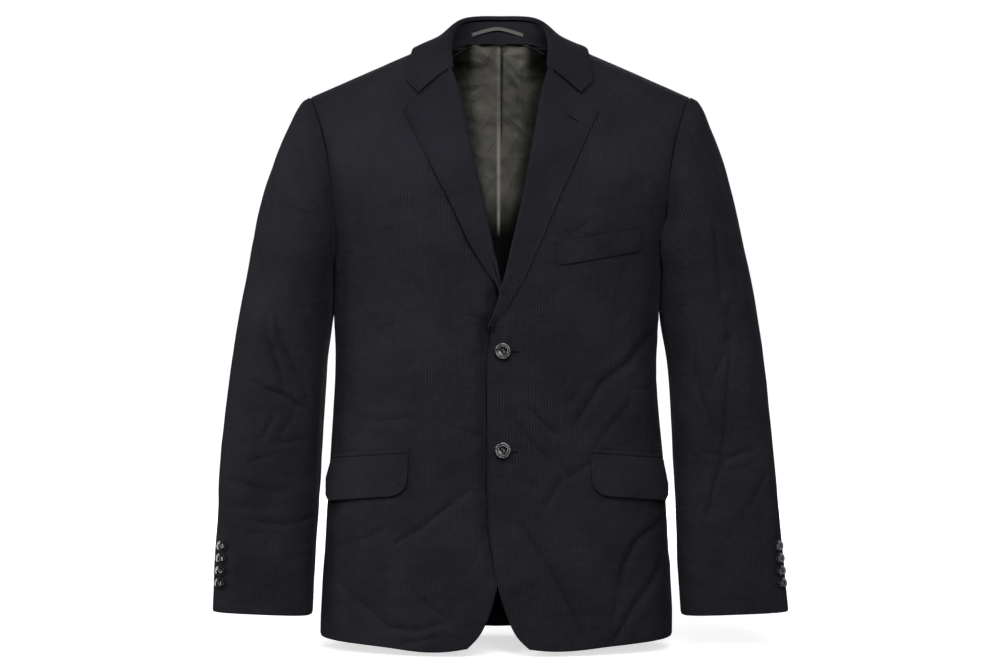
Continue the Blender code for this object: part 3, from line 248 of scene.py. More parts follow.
class Socket:
    """One output of a node, which adds Math nodes when it is used in an expression."""

    def __init__(self, finish, socket):
        self.finish, self.socket = finish, socket

    def math(self, operation, *others):
        values = {number: other for number, other in enumerate((self, *others))}
        return self.finish.node("ShaderNodeMath", {"operation": operation}, values)

    def __add__(self, other): return self.math("ADD", other)
    def __mul__(self, other): return self.math("MULTIPLY", other)
    def __truediv__(self, other): return self.math("DIVIDE", other)
    def __sub__(self, other): return self.math("SUBTRACT", other)
    def __rsub__(self, other): return self.math("MULTIPLY", -1.0) + other

    def wave(self, period):
        """Rise and fall between 0 and 1 once in each period."""
        return self.math("MULTIPLY", 2 * math.pi / period).math("SINE") * 0.5 + 0.5

    def rise(self, low, high):
        """Go smoothly from 0 at low to 1 at high."""
        return self.finish.node("ShaderNodeMapRange", {"interpolation_type": "SMOOTHSTEP"},
                                {"Value": self, "From Min": low, "From Max": high})


def scaled(by, colour):
    """The same colour, darker or lighter."""
    return tuple(by * part for part in colour)


class Finish:
    """One material and the nodes that make it."""

    def __init__(self, name, **constants):
        self.material = bpy.data.materials.new(name)
        self.material.use_nodes = True
        self.tree = self.material.node_tree
        self.shader = self.tree.nodes["Principled BSDF"]
        for socket, value in constants.items():
            self.shader.inputs[socket.replace("_", " ")].default_value = value

    def node(self, kind, settings, values, output=0):
        made = self.tree.nodes.new(kind)
        for setting, value in settings.items():
            setattr(made, setting, value)
        for place, value in values.items():
            if isinstance(value, Socket):
                self.tree.links.new(value.socket, made.inputs[place])
            else:
                made.inputs[place].default_value = value
        return Socket(self, made.outputs[output])

    def axis(self, where, number):
        return self.node("ShaderNodeSeparateXYZ", {}, {0: where}, number)

    def cut(self):
        """The piece's flat pattern in metres: across the grain, and along it."""
        flat = self.node("ShaderNodeUVMap", {"uv_map": "cut"}, {})
        return flat, self.axis(flat, 0), self.axis(flat, 1)

    def place(self):
        return self.node("ShaderNodeTexCoord", {}, {}, "Object")

    def fold(self):
        """How strongly the cloth is folded or sewn here: a sharp line in each crease."""
        line = self.node("ShaderNodeAttribute", {"attribute_name": "fold_line"}, {}, "Fac")
        strength = self.node("ShaderNodeAttribute", {"attribute_name": "fold_strength"}, {}, "Fac")
        uneven = self.grain(self.place(), 90.0, detail=2.0).rise(0.30, 0.70) * 0.7 + 0.3
        return (line.math("ABSOLUTE") * -0.65).math("EXPONENT") * strength * uneven

    def grain(self, where, scale, stretch=(1.0, 1.0, 1.0), detail=2.0, rough=0.5):
        """Noise from 0 to 1 at so many cells a metre, drawn out by stretch."""
        drawn = self.node("ShaderNodeMapping", {}, {"Vector": where, "Scale": stretch})
        return self.node("ShaderNodeTexNoise", {}, {"Vector": drawn, "Scale": scale,
                                                    "Detail": detail, "Roughness": rough})

    def mixed(self, share, low, high):
        """A colour between low, which may come from a node, and high."""
        low = low if isinstance(low, Socket) else (*low, 1.0)
        return self.node("ShaderNodeMix", {"data_type": "RGBA"},
                         {0: share, 6: low, 7: (*high, 1.0)}, 2)

    def bump(self, height, distance, strength=1.0, under=None):
        values = {"Height": height, "Distance": distance, "Strength": strength}
        if under is not None:
            values["Normal"] = under
        return self.node("ShaderNodeBump", {}, values)

    def give(self, **links):
        for socket, value in links.items():
            self.tree.links.new(value.socket, self.shader.inputs[socket.replace("_", " ")])
        return self.material


STRIPE_PITCH = 3.65 * MM
TWILL_PITCH = 0.62 * MM
RIB_PITCH = 0.55 * MM
INK = (0.0086, 0.0080, 0.0112)
INK_WORN = (0.0130, 0.0121, 0.0160)
INK_DEEP = (0.0070, 0.0068, 0.0090)
FLUFF = (0.030, 0.029, 0.035)
STRIPE = (0.0290, 0.0268, 0.0310)
CREASE_SHADE = (0.0022, 0.0020, 0.0028)        # painted shade at the bottom of a sharp crease


def worsted(name, stripes=1.0):
    """Dark worsted: a fine twill with a soft nap and faint broken pinstripes, with painted shade
    along its creases.
    """
    finish = Finish(name, Metallic=0.0, Sheen_Weight=0.035, Sheen_Roughness=0.45,
                    Sheen_Tint=(0.55, 0.55, 0.70, 1.0), Specular_IOR_Level=0.07)
    flat, across, along = finish.cut()
    where = finish.place()
    cloud = finish.grain(where, 14.0, detail=3.0)
    fluff = finish.grain(where, 420.0, detail=2.0)
    slub = finish.grain(flat, 900.0, (1.0, 0.08, 1.0), detail=2.0)
    off_stripe = across.math("PINGPONG", STRIPE_PITCH / 2)
    stripe = 1 - off_stripe.rise(0.15 * MM, 0.75 * MM)
    broken = slub.rise(0.25, 0.65)
    twill = (across + along).wave(TWILL_PITCH)
    shade = finish.mixed(cloud.rise(0.30, 0.75), INK, INK_WORN)
    shade = finish.mixed(fluff.rise(0.55, 0.90) * 0.35, shade, FLUFF)
    patchy = finish.grain(where, 31.0, (1.0, 1.0, 0.5), detail=2.0).rise(0.30, 0.68) * 0.7 + 0.3
    shade = finish.mixed(stripe * (broken * 0.6 + 0.4) * patchy * stripes, shade, STRIPE)
    shade = finish.mixed(twill * 0.16, shade, INK_DEEP)
    height = twill * 0.5 + fluff * 0.5 + stripe * 0.5 * stripes
    weave = finish.bump(height, 0.12 * MM, 0.7)
    rubbed = finish.bump(finish.grain(where, 100.0, (1.0, 1.0, 0.9), 2.0), 1.6 * MM, 1.0, weave)
    swells = finish.grain(where, 34.0, (0.8, 0.8, 1.2), 3.0, 0.55)
    waves = finish.bump(swells, 4.0 * MM, 1.0, rubbed)
    pressed = finish.fold()
    waves = finish.bump(pressed * -0.55, MM, 1.0, waves)
    # painted shade: the colour is darkened along each crease line, where shade would fall
    shade = finish.mixed(pressed * 0.30, shade, CREASE_SHADE)
    return finish.give(Base_Color=shade, Roughness=fluff * 0.16 + 0.78, Normal=waves)


def satin(name, colour, deep):
    """Lining satin: smooth along its warp, with faint ribs and a soft gloss. Its colour holds a
    painted highlight on the centre pleat, a painted shadow beside it, and painted shade towards
    the sides and foot of the neck opening, in the top corners and along its creases.
    """
    finish = Finish(name, Metallic=0.0, Sheen_Weight=0.02, Sheen_Roughness=0.35,
                    Sheen_Tint=(0.80, 0.80, 0.72, 1.0), Specular_IOR_Level=0.06)
    flat, _, along = finish.cut()
    where = finish.place()
    cloud = finish.grain(where, 20.0, detail=3.0)
    ribs = along.wave(RIB_PITCH)
    streak = finish.grain(flat, 500.0, (1.0, 0.05, 1.0), detail=2.0)
    shade = finish.mixed(cloud.rise(0.25, 0.75), deep, colour)
    shade = finish.mixed(streak * 0.25, shade, scaled(0.72, colour))
    aside, height = finish.axis(where, 0), finish.axis(where, 2)
    # painted highlight: a pale strip along the centre pleat's folded edge, fainter near the top
    pleat = 1 - (aside + 2.0 * MM).math("ABSOLUTE").rise(0.8 * MM, 3.2 * MM)
    pleat = pleat * (1 - (height + 0.125).rise(0.0, 0.05) * 0.75)
    shade = finish.mixed(pleat * 0.85, shade, scaled(2.1, colour))
    # painted shadow: a dark line just beside the pleat's folded edge, in the upper part of the
    # lining
    fold = 1 - (aside - 1.6 * MM).math("ABSOLUTE").rise(0.3 * MM, 1.6 * MM)
    shade = finish.mixed(fold * (height + 0.135).rise(0.0, 0.05) * 0.85, shade, scaled(0.12, deep))
    # painted shade, not wear: darker towards the sides of the neck opening, where the lapels shade
    # the lining
    reach = aside.math("ABSOLUTE") / ((height + 0.335) * 0.185).math("MAXIMUM", 0.002)
    worn = reach.rise(0.45, 1.0)
    shade = finish.mixed(worn * 0.88, shade, scaled(0.12, deep))
    # painted shade: the lining goes dark towards the foot of the neck opening, and the same mask
    # makes it rougher there
    foot = 1 - (height + 0.240).rise(0.0, 0.075 - pleat * 0.05)
    shade = finish.mixed(foot * 0.985, shade, scaled(0.02, deep))
    # painted shade: darker in the top corners beside the collar
    corner = (aside.math("ABSOLUTE") - 0.026).rise(0.0, 0.016) * (height + 0.048).rise(0.0, 0.028)
    shade = finish.mixed(corner * 0.93, shade, scaled(0.05, deep))
    fine = finish.bump(ribs * 0.6 + streak * 0.4, 0.05 * MM, 0.6)
    soft = finish.bump(finish.grain(where, 55.0, (1.0, 1.0, 0.7), 3.0, 0.6), 0.9 * MM, 0.6, fine)
    swirl = finish.node("ShaderNodeTexNoise", {}, {"Vector": where, "Scale": 16.0}, "Color")
    bent = finish.node("ShaderNodeVectorMath", {"operation": "MULTIPLY_ADD"},
                       {0: swirl, 1: (0.045, 0.045, 0.045), 2: where}, 0)
    for cells, high in ((24.0, 5.5), (58.0, 2.4)):
        facet = finish.node("ShaderNodeTexVoronoi", {"feature": "F1"},
                            {"Vector": bent, "Scale": cells}, "Distance")
        soft = finish.bump(facet, high * MM, 0.9, soft)
    pressed = finish.fold()
    soft = finish.bump(pressed * -0.8, MM, 1.0, soft)
    # painted shade: darker along each crease line
    shade = finish.mixed(pressed * 0.45, shade, scaled(0.2, deep))
    return finish.give(Base_Color=shade, Roughness=streak * 0.16 + foot * 0.35 + 0.42,
                       Normal=soft)


def tape(name):
    """The hanger loop's narrow ribbed tape."""
    finish = Finish(name, Metallic=0.0, Sheen_Weight=0.2, Specular_IOR_Level=0.4)
    _, across, _ = finish.cut()
    ribs = across.wave(0.7 * MM)
    worn = finish.grain(finish.place(), 160.0, detail=3.0)
    shade = finish.mixed(worn, (0.060, 0.058, 0.050), (0.085, 0.083, 0.072))
    shade = finish.mixed(ribs * 0.4, shade, (0.034, 0.033, 0.028))
    return finish.give(Base_Color=shade, Roughness=worn * 0.2 + 0.45,
                       Normal=finish.bump(ribs, 0.15 * MM, 0.8))


def horn(name, dark, light):
    """Polished button: faint grain, fine turning marks and a few rubs."""
    finish = Finish(name, Metallic=0.0, Specular_IOR_Level=0.50, Coat_Roughness=0.06)
    where = finish.place()
    vein = finish.grain(where, 300.0, (1.0, 1.0, 3.0), detail=4.0)
    rubs = finish.grain(where, 1500.0, (1.0, 0.2, 1.0), detail=2.0)
    shade = finish.mixed(vein.rise(0.35, 0.65), dark, light)
    return finish.give(Base_Color=shade, Roughness=rubs.rise(0.45, 0.80) * 0.12 + 0.09,
                       Coat_Weight=rubs * 0.3,
                       Normal=finish.bump(rubs, 0.03 * MM, 0.5))


def thread(name, colour, sheen):
    """Twisted sewing thread."""
    finish = Finish(name, Metallic=0.0, Sheen_Weight=sheen, Specular_IOR_Level=sheen)
    where = finish.place()
    ply = finish.grain(where, 2400.0, detail=2.0)
    shade = finish.mixed(ply.rise(0.3, 0.7), scaled(0.55, colour), colour)
    return finish.give(Base_Color=shade, Roughness=ply * 0.2 + 0.55,
                       Normal=finish.bump(ply, 0.10 * MM, 0.8))


WORSTED = worsted("pinstripe_worsted", 0.62)
PLAINER = worsted("worsted_with_fainter_stripes", 0.22)
SATIN = satin("back_lining_satin", (0.128, 0.1240, 0.1080), (0.070, 0.0680, 0.0590))
SLEEVE_SATIN = satin("sleeve_lining_satin", (0.050, 0.0490, 0.0430), (0.036, 0.0350, 0.0305))
TAPE = tape("hanger_tape")
HORN = horn("black_horn", (0.0035, 0.0035, 0.0040), (0.0080, 0.0080, 0.0090))
# pale horn for the high rings of each button: a painted highlight where the lights would glint on
# them
HIGHLIGHT_HORN = horn("rubbed_horn", (0.055, 0.055, 0.058), (0.150, 0.150, 0.157))
THREAD = thread("button_thread", (0.035, 0.034, 0.038), 0.2)
HOLE_THREAD = thread("buttonhole_twist", (0.0050, 0.0047, 0.0062), 0.0)


# ------------------------------------------------------------------ working with pieces

def alone(piece):
    """Select one piece and nothing else."""
    bpy.ops.object.select_all(action="DESELECT")
    piece.select_set(True)
    bpy.context.view_layer.objects.active = piece


def apply(piece, kind, **settings):
    """Add a modifier with these settings and apply it."""
    alone(piece)
    added = piece.modifiers.new(kind.title(), kind)
    for setting, value in settings.items():
        setattr(added, setting, value)
    bpy.ops.object.modifier_apply(modifier=added.name)


def places(mesh, what="co"):
    """Where the mesh's points are, or their normals."""
    found = np.zeros(len(mesh.vertices) * 3)
    mesh.vertices.foreach_get(what, found)
    return found.reshape(-1, 3)


def middle_of(name, z):
    """The middle of the hollow that a piece goes round, at these heights."""
    if "sleeve" not in name:
        return np.stack((0.0 * z, 0.0 * z), axis=1)
    heights, out, deep = (np.array(column) for column in zip(*SLEEVE_MIDDLE))
    side = -1 if "right" in name else 1
    return np.stack((side * np.interp(z, heights, out), np.interp(z, heights, deep)), axis=1)


def partners(made, thickness):
    """Tell which points of a closed wall face each other through the cloth."""
    tree = KDTree(len(made.verts))
    for vert in made.verts:
        tree.insert(vert.co, vert.index)
    tree.balance()
    return {vert.index: {index for _, index, away in tree.find_range(vert.co, thickness * 1.03)
                         if away > thickness * 0.97} for vert in made.verts}


def broad_sides(made, thickness):
    """The two broad sides of a closed wall, as two sets of faces without the rim."""
    facing = partners(made, thickness)
    rim = {face for face in made.faces
           if any(edge.verts[1].index in facing[edge.verts[0].index] for edge in face.edges)}
    sides = []
    left = set(made.faces) - rim
    while left:
        found = {left.pop()}
        todo = list(found)
        while todo:
            for edge in todo.pop().edges:
                for face in edge.link_faces:
                    if face in left:
                        left.discard(face)
                        found.add(face)
                        todo.append(face)
        sides.append(found)
    return sorted(sides, key=len)[-2:]


def lift_sheet(node, thickness):
    """Copy a CAD wall and keep its outer side, as one sheet of quads."""
    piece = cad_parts[node].copy()
    piece.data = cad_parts[node].data.copy()
    for key in list(piece.keys()):
        del piece[key]
    piece.parent = None
    piece.name = piece.data.name = "cloth_" + node
    bpy.context.scene.collection.objects.link(piece)
    alone(piece)
    bpy.ops.object.mode_set(mode="EDIT")
    bpy.ops.mesh.select_all(action="SELECT")
    bpy.ops.mesh.remove_doubles(threshold=0.00001)
    bpy.ops.mesh.tris_convert_to_quads(face_threshold=math.radians(60),
                                       shape_threshold=math.radians(80))
    bpy.ops.object.mode_set(mode="OBJECT")
    made = bmesh.new()
    made.from_mesh(piece.data)
    made.verts.ensure_lookup_table()

    def outwards(faces):
        total = 0.0
        for face in faces:
            middle = face.calc_center_median()
            centre = middle_of(node, np.array([middle.z]))[0]
            away = Vector((middle.x - centre[0], middle.y - centre[1], 0.0))
            total += face.calc_area() * face.normal.dot(away)
        return total

    outer = max(broad_sides(made, thickness), key=outwards)
    bmesh.ops.delete(made, geom=[f for f in made.faces if f not in outer], context="FACES")
    made.to_mesh(piece.data)
    made.free()
    return piece


def lay_flat(piece, grain=(0.0, 0.0, 1.0), within=10.0):
    """Flatten the sheet to its pattern in metres, with the grain along the pattern's height.
    The grain is read within this distance of the blazer's middle. Returns width, length
    and area."""
    alone(piece)
    mesh = piece.data
    while mesh.uv_layers:
        mesh.uv_layers.remove(mesh.uv_layers[0])
    mesh.uv_layers.new(name="cut")
    bpy.ops.object.mode_set(mode="EDIT")
    bpy.ops.mesh.select_all(action="SELECT")
    bpy.ops.uv.unwrap(method="ANGLE_BASED", fill_holes=False, correct_aspect=False, margin=0.0)
    bpy.ops.object.mode_set(mode="OBJECT")
    layer = mesh.uv_layers["cut"].data
    flat = np.zeros(len(layer) * 2)
    layer.foreach_get("uv", flat)
    flat = flat.reshape(-1, 2)
    spots = places(mesh)
    grain = np.array(grain) / np.linalg.norm(grain)
    real, drawn, lean = 0.0, 0.0, np.zeros(2)
    for face in mesh.polygons:
        corners = flat[face.loop_start:face.loop_start + face.loop_total]
        turned = np.roll(corners, -1, axis=0)
        area = abs((corners[:, 0] * turned[:, 1] - corners[:, 1] * turned[:, 0]).sum()) / 2
        real, drawn = real + face.area, drawn + area
        if abs(face.center.x) < within:
            heights = spots[list(face.vertices)] @ grain
            fit = np.linalg.lstsq(corners - corners.mean(axis=0), heights - heights.mean(),
                                  rcond=None)[0]
            lean += fit * area
    lean /= np.linalg.norm(lean)
    turn = np.array(((lean[1], lean[0]), (-lean[0], lean[1])))
    flat = (flat - flat.mean(axis=0)) @ turn * math.sqrt(real / drawn)
    layer.foreach_set("uv", flat.ravel())
    return (*np.ptp(flat, axis=0), real)


def band_the_edges(piece, width):
    """Keep the sheet's corners sharp and add a narrow band of faces all round it, so that
    its edge can be pressed."""
    made = bmesh.new()
    made.from_mesh(piece.data)
    sharp = made.verts.layers.float.new("crease_vert")
    for vert in made.verts:
        rim = [edge for edge in vert.link_edges if edge.is_boundary]
        if len(rim) == 2:
            before, after = (edge.other_vert(vert).co - vert.co for edge in rim)
            if before.angle(after) < math.radians(CORNER):
                vert[sharp] = 1.0
    bmesh.ops.inset_region(made, faces=made.faces[:], thickness=width, use_boundary=True,
                           use_even_offset=True, use_interpolate=True)
    made.to_mesh(piece.data)
    made.free()


def hold_shape(piece):
    """Move the points out or in so that the smoothed sheet passes through where they were."""
    wanted, normals = places(piece.data), places(piece.data, "normal")
    trial = piece.copy()
    trial.data = piece.data.copy()
    bpy.context.scene.collection.objects.link(trial)
    apply(trial, "SUBSURF", levels=2, boundary_smooth="PRESERVE_CORNERS")
    reached = places(trial.data)[:len(wanted)]
    bpy.data.objects.remove(trial)
    short = ((wanted - reached) * normals).sum(axis=1, keepdims=True)
    piece.data.vertices.foreach_set("co", (wanted + normals * short).ravel())
    piece.data.update()


def edge_ways(mesh, limit):
    """Each point's distance from the sheet's edge, no more than limit, and the way out."""
    made = bmesh.new()
    made.from_mesh(mesh)
    rim = [edge for edge in made.edges if edge.is_boundary]
    tree = KDTree(len(rim) * 3)
    for number, edge in enumerate(rim):
        for step in (0.0, 0.33, 0.67):
            tree.insert(edge.verts[0].co.lerp(edge.verts[1].co, step), number)
    tree.balance()
    ways = np.array([min(tree.find(vert.co)[2], limit) for vert in made.verts])
    out = np.zeros((len(ways), 3))
    for edge in rim:
        face = edge.link_faces[0]
        run = (edge.verts[1].co - edge.verts[0].co).normalized()
        away = run.cross(face.normal)
        if away.dot(edge.verts[0].co - face.calc_center_median()) < 0:
            away = -away
        for vert in edge.verts:
            out[vert.index] += np.array(away)
    made.free()
    length = np.linalg.norm(out, axis=1, keepdims=True)
    return ways, out / np.maximum(length, 1e-9) * (length > 0)


def creases_at(node, spots):
    """What the creases do at each point of this piece, as crease_lift gives it."""
    x, y, z = spots.T
    if node.startswith("lining"):
        return crease_lift(x, z, LINING_CREASES)
    if node.startswith(("collar", "hanger")):
        return crease_lift(x, z, ())
    if node.startswith("lapel"):
        return crease_lift(x, z, LAPEL_CREASES)
    if "sleeve" in node:
        front, back, fade = SLEEVE_FRONT_CREASES, SLEEVE_BACK_CREASES, 0.018
        y = y - middle_of(node, z)[:, 1]
    else:
        front, back, fade = FRONT_CREASES, BACK_CREASES, 0.020
        if node.startswith("front"):
            front = front + DARTS + POCKET_LINES
        if node == "front_right":
            front = front + LAP_CREASES
    ahead, behind = crease_lift(x, z, front), crease_lift(x, z, back)
    fade = np.clip(np.abs(y) / fade, 0, 1)
    lift, line, strength = (np.where(y < 0, a, b) for a, b in zip(ahead, behind))
    return lift * fade, line, strength * fade


def rope(node, spots):
    """The soft ridge of wadding at the head of each sleeve."""
    if not node.startswith("sleeve_top"):
        return np.zeros(len(spots))
    x, _, z = spots.T
    down = ramp(-0.085 - z, 0.045)
    return 1.6 * MM * np.exp(-((np.abs(x) - 0.2440) / 0.0065) ** 2) * (1 - down) ** 2


def free_edges(node, spots):
    """How far in millimetres an edge stands off where it lies loose on the cloth below."""
    x, _, z = spots.T
    if node.startswith("lapel"):
        foot = -0.315 if "left" in node else -0.285
        return np.where(np.abs(x) > (z + 0.32) * 0.38, 1.9, 0.0) * ramp(z - foot, 0.03)
    if node == "front_left":
        return np.where((x < 0.010) & (z < -0.325), 1.5, 0.0)
    return np.zeros(len(x))


def gorge_reach(node, spots, out):
    """How much further in millimetres the lapels reach to the collar."""
    x, _, z = np.abs(spots.T)
    up = out[:, 2] > 0.5
    reach = 2.2 if node == "lapel_right" else 0.8
    return np.where(up & (x < 0.0935) & (z < 0.085), reach, 0.0) * node.startswith("lapel")


def crumple(spots, size, seed):
    """Sharp soft-sided ridges, like those of satin that has been folded away."""
    return 0.5 - 2 * np.abs(rumple(*spots.T, size, seed))


# How full each sleeve is on its outer side, and the body on its left, in mm at heights in mm
FULLNESS = {
    "body": ((-740, 0.7), (-705, 1.5), (-640, 1.2), (-600, 2.0), (-570, 2.2), (-540, 1.6),
             (-500, 1.2), (-470, 0.6), (-440, 0.0)),
    "left": ((-594, 0.0), (-540, 0.2), (-486, 1.1), (-413, 1.4), (-377, 1.9), (-340, 1.2),
             (-277, 1.2), (-230, 0.0)),
    "right": ((-594, 0.0), (-576, 1.2), (-558, 3.0), (-540, 2.9), (-504, 1.7), (-486, 0.5),
              (-449, 0.5), (-395, 1.6), (-377, 1.3), (-359, 0.6), (-335, -0.3), (-300, -1.5),
              (-270, -1.4), (-225, 0.0)),
}


def lean(node, spots):
    """How far each sleeve hangs in against the side of the body below the armhole."""
    x, _, z = spots.T
    near = ramp(z + 0.405, 0.065) * ramp(-0.215 - z, 0.03)
    near = near * near * (3 - 2 * near)
    if "sleeve" in node:
        middle = np.abs(middle_of(node, z)[:, 0])
        inward = ramp(middle - np.abs(x), 0.03)
        outward = ramp(np.abs(x) - middle, 0.03)
        full = np.interp(z / MM, *zip(*FULLNESS["left" if "left" in node else "right"]))
        return MM * (3.4 * near * inward + full * outward)
    if node.startswith(("side", "front", "back")):
        outward = ramp(np.abs(x) - 0.165, 0.025)
        full = np.interp(z / MM, *zip(*FULLNESS["body"])) if "left" in node else 0.0
        return MM * ((2.2 if "left" in node else 1.4) * near + full) * outward
    return np.zeros(len(x))


FLAT_ROUND = 13 * MM          # the cloth lies flat this far round a button
BUTTON_SINK = 0.5 * MM


def under_buttons(node, spots, lift):
    """The lift at each point, kept flat and a little sunk below each button."""
    if not node.startswith(("sleeve", "front_left")):
        return lift
    kind = "button_front" if node == "front_left" else "button_cuff_" + node.split("_")[-1]
    for name in sorted(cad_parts):
        if name.startswith(kind):
            middle = places(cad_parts[name].data).mean(axis=0)
            near = np.exp(-(np.linalg.norm(spots - middle, axis=1) / FLAT_ROUND) ** 4)
            lift = lift * (1 - near) - BUTTON_SINK * near
    return lift


# How far out a pocket's piece reaches in mm: where it starts, how fast it widens, the most
REACH = {"left": (200.3, 0.20, 207.5), "right": (206.5, 0.30, 215.0)}
STAND_OUT = {"left": 2.0, "right": 0.3}   # how far its outer end stands out at the top, in mm
FLARE = 5.0                   # and how much further below
MOUTH = -0.506                # the flare starts at this height
WIDENS = -0.512               # and the reach grows from this one
CORNER_TOP = -0.5615          # the outer corner is cut off below this height
FLAP_FOOT = -0.5680           # and ends here
LAPEL_FOOT = -0.334           # the left lapel's foot sinks back below this height
LAPEL_SINK = 4.5
BREAK = -0.377                # the left front's edge draws back above this height
BREAK_DRAW = 13.0
LINING_TOP, LINING_SHOULDER = 0.005, -0.030    # the lining's height at the back and shoulders


def fit_outline(node, spots):
    """Move the points of a few pieces whose edges show against something lighter."""
    x, y, z = spots.T
    if node.startswith("pocket"):
        side = "left" if "left" in node else "right"
        flare = (FLARE * ramp(MOUTH - z, 0.024) + STAND_OUT[side]) * MM
        x += np.sign(x) * flare * ramp(np.abs(x) - 0.17, 0.03)
        start, slope, most = REACH[side]
        reach = np.minimum(start * MM + slope * (WIDENS - z), most * MM)
        reach = reach - 0.6 * np.maximum(CORNER_TOP - z, 0)
        x[:] = np.clip(x, -reach, reach)
        z[:] = np.where(np.abs(x) > 0.19, np.maximum(z, FLAP_FOOT), z)
    if node == "lapel_left":
        y += LAPEL_SINK * MM * ramp(LAPEL_FOOT - z, 0.018) ** 2
    if node == "front_left":
        above = ramp(z - BREAK, 0.070)
        x += BREAK_DRAW * MM * above * ramp(0.012 - x, 0.026)
    if node.startswith("lining"):
        top = LINING_TOP - 0.55 * np.maximum(np.abs(x) - 0.030, 0)
        z[:] = np.minimum(z, np.maximum(top, LINING_SHOULDER))


def press(piece, node, roll, let_out, unevenness):
    """Crease the sheet, press its edges over and let them out to their neighbours."""
    mesh = piece.data
    spots, normals = places(mesh), places(mesh, "normal")
    ways, out = edge_ways(mesh, SEAM_BAND)
    lift, line, strength = creases_at(node, spots)
    allowance = (ways < SEAM_BAND * 0.98).astype(float)
    for name, values in (("fold_line", line), ("fold_strength", strength),
                         ("allowance", allowance)):
        mesh.attributes.new(name, "FLOAT", "POINT").data.foreach_set("value", values)
    lift = lift + rope(node, spots) + lean(node, spots)
    worn = 1 + 0.9 * ramp(-0.30 - spots[:, 2], 0.15)
    lift += unevenness * MM * worn * rumple(*spots.T, 0.060, 0.0)
    lift += unevenness * 0.5 * MM * worn * rumple(*spots.T, 0.022, 7.0)
    if node.startswith("lining"):
        lift += 1.4 * MM * crumple(spots, 0.034, 3.0) + 0.8 * MM * crumple(spots, 0.017, 5.0)
        lift += 4.5 * MM * ramp(spots[:, 2] + 0.008, 0.012)
    lift = under_buttons(node, spots, lift)
    lift += (free_edges(node, spots) - roll) * MM * (1 - ways / SEAM_BAND) ** 2
    let_out = let_out + gorge_reach(node, spots, out)
    spots = spots + normals * lift[:, None] + out * let_out[:, None] * MM
    fit_outline(node, spots)
    mesh.vertices.foreach_set("co", spots.ravel())
    mesh.update()


def tailor(node, outside, inside, levels=3, thickness=CLOTH, grain=(0.0, 0.0, 1.0), within=10.0,
           roll=0.7, let_out=0.15, unevenness=0.45, band=SEAM_BAND):
    """Make the dressed sheet for one CAD wall, from its pattern to its lined inside."""
    piece = lift_sheet(node, thickness)
    width, length, area = lay_flat(piece, grain, within)
    band_the_edges(piece, band)
    hold_shape(piece)
    apply(piece, "SUBSURF", levels=levels, render_levels=levels,
          boundary_smooth="PRESERVE_CORNERS", uv_smooth="PRESERVE_BOUNDARIES")
    press(piece, node, roll, let_out, unevenness)
    piece.data.materials.clear()
    piece.data.materials.append(outside)
    piece.data.materials.append(inside)
    for face in piece.data.polygons:
        face.material_index = 0
    apply(piece, "SOLIDIFY", thickness=thickness, offset=-1.0, use_even_offset=False,
          material_offset=1, material_offset_rim=0)
    face_inside(piece, node)
    alone(piece)
    bpy.ops.object.shade_smooth_by_angle(angle=math.radians(50))
    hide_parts(node)
    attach(piece, "root")


HEM_FACING = -0.704           # the inside of the body is cloth below this, and lining above
CUFF_FACING = -0.668
FRONT_FACING = 0.078          # and cloth nearer than this to the middle of the fronts


def face_inside(piece, node):
    """Turn cloth in at the hem, the cuffs, the fronts and every seam, over the lining."""
    allowance = piece.data.attributes["allowance"].data
    for face in piece.data.polygons:
        if face.material_index == 0:
            continue
        x, _, z = face.center
        if "sleeve" in node:
            faced = z < CUFF_FACING
        else:
            faced = z < HEM_FACING or (node.startswith("front") and abs(x) < FRONT_FACING)
        faced = faced or any(allowance[corner].value > 0.5 for corner in face.vertices)
        if faced:
            face.material_index = 0


SIDES = ("left", "right")
LAPEL_LEAN = {"left": (0.41, 0.0, 0.91), "right": (-0.41, 0.0, 0.91)}
# A jet is a straight strip that slopes, so it is measured square to its own slope
JET_LEAN = {"left": (0.12, 0.0, 1.0), "right": (-0.12, 0.0, 1.0)}

for side in SIDES:
    tailor("front_" + side, WORSTED, SATIN, let_out=0.25)
    tailor("side_panel_" + side, WORSTED, SATIN, let_out=0.3)
    tailor("back_" + side, WORSTED, SATIN, let_out=0.35)
    tailor("sleeve_top_" + side, WORSTED, SLEEVE_SATIN, let_out=0.5)
    tailor("sleeve_under_" + side, WORSTED, SLEEVE_SATIN, let_out=0.5)
    tailor("lining_" + side, SATIN, SATIN, thickness=LINING, roll=0.0, unevenness=0.7,
           levels=4)
    tailor("lapel_" + side, PLAINER, PLAINER, grain=LAPEL_LEAN[side], roll=0.35, band=1.5 * MM,
           unevenness=0.3)
    tailor("pocket_flap_" + side, WORSTED, WORSTED, roll=0.3, band=0.4 * MM, let_out=0.0)
    tailor("pocket_jet_" + side, WORSTED, WORSTED, grain=JET_LEAN[side], roll=0.5,
           band=1.2 * MM, let_out=0.0)
tailor("collar_fall", PLAINER, PLAINER, within=0.02, roll=0.35, band=1.5 * MM, unevenness=0.2)
tailor("collar_stand", PLAINER, PLAINER, within=0.02, roll=0.2, band=1.5 * MM, unevenness=0.2)
tailor("chest_welt", WORSTED, WORSTED, roll=0.4, band=1.5 * MM, let_out=0.0)
tailor("hanger_loop", TAPE, TAPE, roll=0.2, band=0.8 * MM, let_out=0.0, unevenness=0.1)


# ------------------------------------------------------------------ buttons and their holes

CYLINDER = bpy.ops.mesh.primitive_cylinder_add


def settle():
    """Keep the active piece's place, turn and size in its mesh."""
    bpy.ops.object.transform_apply(location=True, rotation=True, scale=True)


def primitive(add, name, **settings):
    """Add a primitive and name it, with its place kept in its mesh."""
    bpy.ops.object.select_all(action="DESELECT")
    add(**settings)
    piece = bpy.context.active_object
    piece.name = piece.data.name = name
    settle()
    return piece


